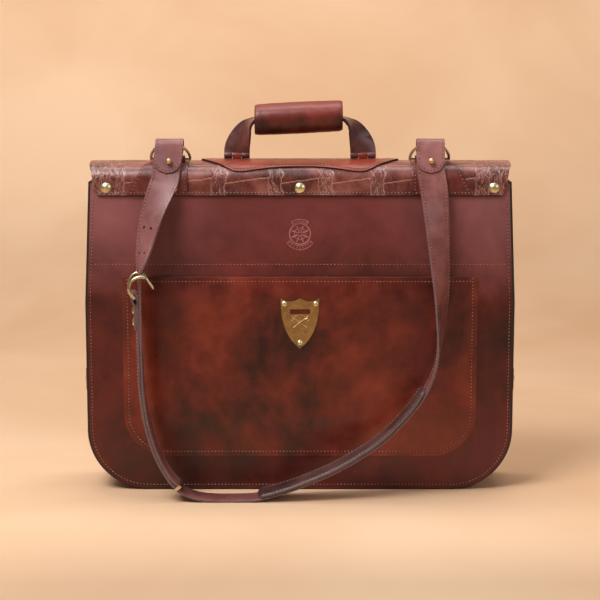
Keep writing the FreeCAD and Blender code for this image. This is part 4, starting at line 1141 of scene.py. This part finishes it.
def routeStations(route, fromTop):
    out = []
    for x, front, height, turn in route:
        spin = math.radians(turn)
        z = strap["panel"] - height if fromTop else height
        out.append((Vector((x, -strap["front"] - front, z)), Vector((math.cos(spin), -math.sin(spin), 0))))
    return out


def shifted(stations, amount):
    out, last = [], len(stations) - 1
    for i, (p, across) in enumerate(stations):
        run = stations[min(i + 1, last)][0] - stations[max(i - 1, 0)][0]
        out.append((p + run.cross(across).normalized() * amount, across))
    return out


def loopCentre():
    r = strap["ringRadius"]
    reach = r - (r - math.sqrt(r ** 2 - (strap["width"] / 2) ** 2)) / 2
    lean = math.radians(strap["lean"])
    return Vector((0, strap["barY"] - reach * math.sin(lean), strap["barZ"] + reach * math.cos(lean)))


def tabPoints():
    leave = math.radians(strap["leave"])
    top = loopCentre() + Vector((0, math.cos(leave), math.sin(leave))) * (strap["room"] + strap["thick"] / 2)
    return top, top + Vector((0, -math.sin(leave), math.cos(leave))) * strap["tab"]


def ringEnd(x, across, slew=0.0):
    # slew is how far sideways the strap runs for its drop below the ring.
    centre, radius = loopCentre(), strap["room"] + strap["thick"] / 2
    top, foot = tabPoints()
    points = [foot, foot.lerp(top, 0.25), foot.lerp(top, 0.5), foot.lerp(top, 0.75), top]
    for angle in (144, 126, 108, 90, 72, 54, 36, 18, 0, -18, -36, strap["lean"] - 90):
        spin = math.radians(angle)
        points.append(centre + Vector((0, math.cos(spin), math.sin(spin))) * radius)
    under, lean = points[-1], math.radians(strap["lean"])
    away = Vector((0, -math.cos(lean), -math.sin(lean)))
    points += [under + away * 7, under + away * 14]
    points += [foot + Vector((0, 8.2, 14.2)), foot + Vector((0, 5.6, 9.4)), foot + Vector((0, 3.4, 1.8))]
    stations = []
    for p in points:
        drop = max(0.0, strap["slewFrom"] - p.z)
        tilt = slew * min(1.0, drop / 8)
        stations.append((Vector((x - slew * drop, p.y, p.z)), (across - Vector((0, 0, tilt))).normalized()))
    return stations


def buckleAxes():
    x, front, _, turn = leftUpper[7]
    spin = math.radians(turn)
    return (Vector((x, -strap["front"] - front, strap["buckleHeight"])),
            Vector((math.cos(spin), -math.sin(spin), 0)), Vector((-math.sin(spin), -math.cos(spin), 0)))


def makeStrap():
    width, thick = strap["width"], strap["thick"]
    left = routeStations(leftUpper, True) + routeStations(leftLower, False)
    right = routeStations(groundRun + padRun + rightLower, False) + routeStations(rightUpper, True)

    billet = strapSections(ringEnd(-strap["ringX"], Vector((1, 0, 0)), strap["slew"]) + shifted(left, -layer))
    o = strapPiece("strapBilletLeather", billet, width, thick, width / 2, 0)
    punch(o, billet)
    finishPiece(o, [strapLeather, strapEdge], "shoulder_strap", ["strap_billet"])
    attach(sew("strapBilletStitches", tabSeam(billet, width, thick)
                + strapSeams(billet, width, thick, strap["inset"], 1, 19)
                + strapSeams(billet, width, thick, strap["inset"], -1, 19)), "shoulder_strap")

    origin, across, outward = buckleAxes()
    up = Vector((0, 0, 1))
    radius, flat = strap["bar"] + strap["gap"] + thick / 2, layer + thick + strap["gap"]
    centre = origin + outward * (layer + radius)
    points = [origin + outward * flat - up * 42, origin + outward * flat - up * 27,
              origin + outward * flat - up * 12, origin + outward * (flat + 2.5) - up * 7]
    for angle in range(0, 181, 20):
        spin = math.radians(angle)
        points.append(centre + outward * (radius * math.cos(spin)) + up * (radius * math.sin(spin)))
    folded = [(p, across) for p in points]
    down = [s for s in left if s[0].z < 260]
    whole = shifted(down + right, layer)
    end = [(p, a) for p, a in reversed(ringEnd(strap["ringX"], Vector((-1, 0, 0))))]
    long = strapSections(folded + whole + end)
    o = strapPiece("strapLongLeather", long, width, thick, 0, width / 2)
    finishPiece(o, [strapLeather, strapEdge], "shoulder_strap", ["strap_long"])
    backward = [(p, -a, u) for p, a, u in reversed(long)]
    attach(sew("strapLongStitches", tabSeam(backward, width, thick)
                + strapSeams(long, width, thick, strap["inset"], 1, 4, 19)
                + strapSeams(long, width, thick, strap["inset"], -1, 60, 19)), "shoulder_strap")

    stations = routeStations(groundRun[-1:] + padRun, False)
    below = thick / 2 - layer + strap["gap"]
    pad = strapSections(shifted(stations, -(strap["padThick"] / 2 + below)))
    o = strapPiece("shoulderPadLeather", pad, strap["pad"], strap["padThick"], 6, 6, 0.1, 0.9)
    finishPiece(o, [padLeather, strapEdge], "shoulder_strap", ["shoulder_pad"])
    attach(sew("shoulderPadStitches", strapSeams(pad, strap["pad"], strap["padThick"], 3.5, -1, 6, 6)),
            "shoulder_strap")


def tabSeam(framed, width, thick):
    # Stitches round the half circle of a strap's round end.
    spots = []
    radius = width / 2
    centre = framed[0][0] + (framed[1][0] - framed[0][0]).normalized() * radius
    run = (framed[1][0] - framed[0][0]).normalized()
    across, up = framed[0][1], framed[0][2]
    r = radius - strap["inset"]
    count = int(math.pi * r / stitch["pitch"])
    for face in (1, -1):
        for k in range(count):
            a = math.pi * (k + 0.5) / count
            p = centre + across * (r * math.cos(a)) - run * (r * math.sin(a))
            p += up * (face * (thick / 2 + 0.15))
            way = across * -math.sin(a) - run * math.cos(a)
            spots.append((p, way, up * face))
    return spots


def punch(o, framed):
    # Pairs of round buckle holes through the billet, cut with one joined cutter.
    heights = [strap["holeHeight"] + strap["pitch"] * k for k in (1, 0, -3, -4)]
    cutters = []
    low = [f for f in framed if f[0].y < -60]
    for height in heights:
        p, across, up = min(low, key=lambda f: abs(f[0].z - height))
        for side in (-0.5, 0.5):
            spot = (p + across * (strap["spread"] * side)) * mm
            deselect()
            turn = up.to_track_quat("Z", "Y").to_euler()
            bpy.ops.mesh.primitive_cylinder_add(vertices=20, radius=strap["hole"] * mm, depth=9 * mm,
                                                location=spot, rotation=turn)
            cutters.append(bpy.context.object)
    cutter = joined(cutters)
    hole = o.modifiers.new("holes", "BOOLEAN")
    hole.object = cutter
    hole.solver = "EXACT"
    applyAll(o)
    bpy.data.objects.remove(cutter)


makeStrap()
say("shoulder strap")


def softened(node, name, finish):
    # A copy of a small solid with its sharp edges rounded, in place of the solid.
    source = frame["nodes"][node]
    o = source.copy()
    o.data = source.data.copy()
    o.name = o.data.name = name
    for key in list(o.keys()):
        del o[key]
    o.parent = None
    o.hide_render = o.hide_viewport = False
    bpy.context.scene.collection.objects.link(o)
    activate(o)
    editAll((bpy.ops.mesh.remove_doubles, {"threshold": 0.00001}),
            (bpy.ops.mesh.dissolve_limited, {"angle_limit": math.radians(4)}))
    bevel = o.modifiers.new("softEdge", "BEVEL")
    bevel.width = 0.6 * mm
    bevel.segments = 3
    bevel.limit_method = "ANGLE"
    bevel.angle_limit = math.radians(35)
    applyAll(o)
    finishPiece(o, [finish], source["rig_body"], [node])


small = {"ring_loop_left": ("ringLoopLeft", patchLeather), "ring_loop_right": ("ringLoopRight", patchLeather),
         "handle_anchors": ("handleAnchorLoops", baseLeather), "spine_ends": ("spineEndCaps", scaleLeather),
         "bail_loop": ("bailLoopLeather", panelLeather), "tab_anchors": ("tabAnchorLeather", strapLeather),
         "side_tab_right": ("sideTabRight", strapLeather), "side_tab_left": ("sideTabLeft", strapLeather),
         "garment_strap_lower": ("garmentStrapLower", strapLeather),
         "garment_strap_upper": ("garmentStrapUpper", strapLeather)}
for node, (name, finish) in small.items():
    softened(node, name, finish)
say("small leather")


lining = {"inset": 4.5, "face": 41.5, "thick": 1.0}


def makeLining(side, half):
    def place(u, w):
        x, z = traySpot(u, w, lining["inset"])
        y = lining["face"] + noise.noise(Vector((x / 90, z / 90, side))) * 0.25
        return x * side, side * y, z
    o = leatherSheet(half + "LiningCloth", 90, 70, place, lining["thick"], (0, -side, 0), 0)
    finishPiece(o, [liningCloth, liningCloth], half + "_half", [half + "_lining"])


makeLining(-1, "front")
makeLining(1, "back")
say("linings")


crest = {"middle": 226.0, "beads": 7, "bead": 0.8,
         "staves": (((-11, 8.5), (9, -7), 0.55), ((-10, 5.5), (-7, 3.8), 0.9), ((-11.5, 3.5), (-9, 1), 0.8))}


def makeCrest():
    # Two crossed staves under a row of beads, cast on the brass shield.
    pieces = []
    front = min(v.co.y for v in frame["nodes"]["shield_plate"].data.vertices)
    plate = frame["nodes"]["shield_plate"].matrix_world @ Vector((0, front, 0))
    for side in (-1, 1):
        for start, stop, radius in crest["staves"]:
            a = Vector((side * start[0] * mm, plate.y, (crest["middle"] + start[1]) * mm))
            b = Vector((side * stop[0] * mm, plate.y, (crest["middle"] + stop[1]) * mm))
            deselect()
            turn = (b - a).to_track_quat("Z", "Y").to_euler()
            bpy.ops.mesh.primitive_cylinder_add(vertices=12, radius=radius * mm, depth=(b - a).length,
                                                location=(a + b) / 2, rotation=turn)
            pieces.append(bpy.context.object)
    for k in range(crest["beads"]):
        a = math.radians(lerp(35, 145, k / (crest["beads"] - 1)))
        deselect()
        bpy.ops.mesh.primitive_uv_sphere_add(segments=12, ring_count=8, radius=crest["bead"] * mm,
                                             location=(9.5 * math.cos(a) * mm, plate.y,
                                                       (crest["middle"] + 1.5 + 8.5 * math.sin(a)) * mm))
        pieces.append(bpy.context.object)
    o = joined(pieces)
    o.name = o.data.name = "shieldCrest"
    activate(o)
    bpy.ops.object.transform_apply(location=True, rotation=True, scale=True)
    finishPiece(o, [crestBrass], "front_half")


makeCrest()
carried = {"shield_plate": oldBrass, "shield_rivets": paleBrass, "front_rivets": paleBrass,
           "back_rivets": paleBrass, "strap_studs": crestBrass, "chape_rivets": paleBrass,
           "buckle_frame": wireBrass, "buckle_prongs": wireBrass, "strap_keeper": wireBrass,
           "d_ring_left": wireBrass, "d_ring_right": wireBrass, "handle_pins": paleBrass,
           "hanging_bail": wireBrass, "hanger_bracket": oldBrass, "bracket_rivets": paleBrass,
           "garment_buckles": oldBrass, "tab_rivets": paleBrass, "tab_cap_left": paleBrass,
           "tab_cap_right": paleBrass, "closure_magnets": magnetSteel, "front_board": stiffBoard,
           "back_board": stiffBoard, "spine_board": stiffBoard, "grip_core": stiffBoard}
for node, finish in carried.items():
    o = frame["nodes"][node]
    o.data.materials.clear()
    o.data.materials.append(finish)
say("brass")


sweep = {"width": 16.0, "front": -7.0, "length": 12.0, "flat": 1.0, "radius": 1.2}  # metres


def makeStudio():
    deselect()
    bpy.ops.mesh.primitive_grid_add(x_subdivisions=2, y_subdivisions=60, size=1)
    floor = bpy.context.object
    floor.name = "studioSweep"
    for v in floor.data.vertices:
        w = v.co.y + 0.5
        s = sweep["front"] + w * sweep["length"]
        flat, radius = sweep["flat"], sweep["radius"]
        if s < flat:
            y, z = s, 0.0
        elif s < flat + radius * math.pi / 2:
            a = (s - flat) / radius
            y, z = flat + radius * math.sin(a), radius * (1 - math.cos(a))
        else:
            y, z = flat + radius, radius + s - flat - radius * math.pi / 2
        v.co = (v.co.x * sweep["width"], y, z)
    floor.data.materials.append(canvasFinish("warm_studio_sweep"))
    activate(floor)
    bpy.ops.object.shade_smooth()

    def lamp(name, place, aim, size, power, colour):
        data = bpy.data.lights.new(name, "AREA")
        data.shape = "RECTANGLE"
        data.size, data.size_y = size
        data.energy = power
        data.color = colour
        o = bpy.data.objects.new(name, data)
        bpy.context.scene.collection.objects.link(o)
        o.location = place
        o.rotation_euler = (Vector(aim) - Vector(place)).to_track_quat("-Z", "Y").to_euler()

    lamp("keyLight", (-1.1, -1.3, 2.5), (0, -0.1, 0.1), (1.2, 1.2), 70, (1, 0.985, 0.97))
    lamp("fillLight", (2.3, -1.6, 1.7), (0, 0, 0.2), (1.4, 1.4), 14, (1, 0.98, 0.98))
    lamp("topLight", (0.0, 0.3, 2.5), (0, 0.1, 0), (2.4, 1.2), 28, (1, 0.99, 0.97))
    lamp("sweepLight", (-0.6, 0.5, 2.2), (-0.2, 2.2, 0.9), (2.4, 0.6), 13, (1, 0.985, 0.97))
    world = bpy.data.worlds.new("roomLight")
    bpy.context.scene.world = world
    world.use_nodes = True
    world.node_tree.nodes["Background"].inputs["Color"].default_value = (1, 0.95, 0.9, 1)
    world.node_tree.nodes["Background"].inputs["Strength"].default_value = 0.2


makeStudio()
say("studio")
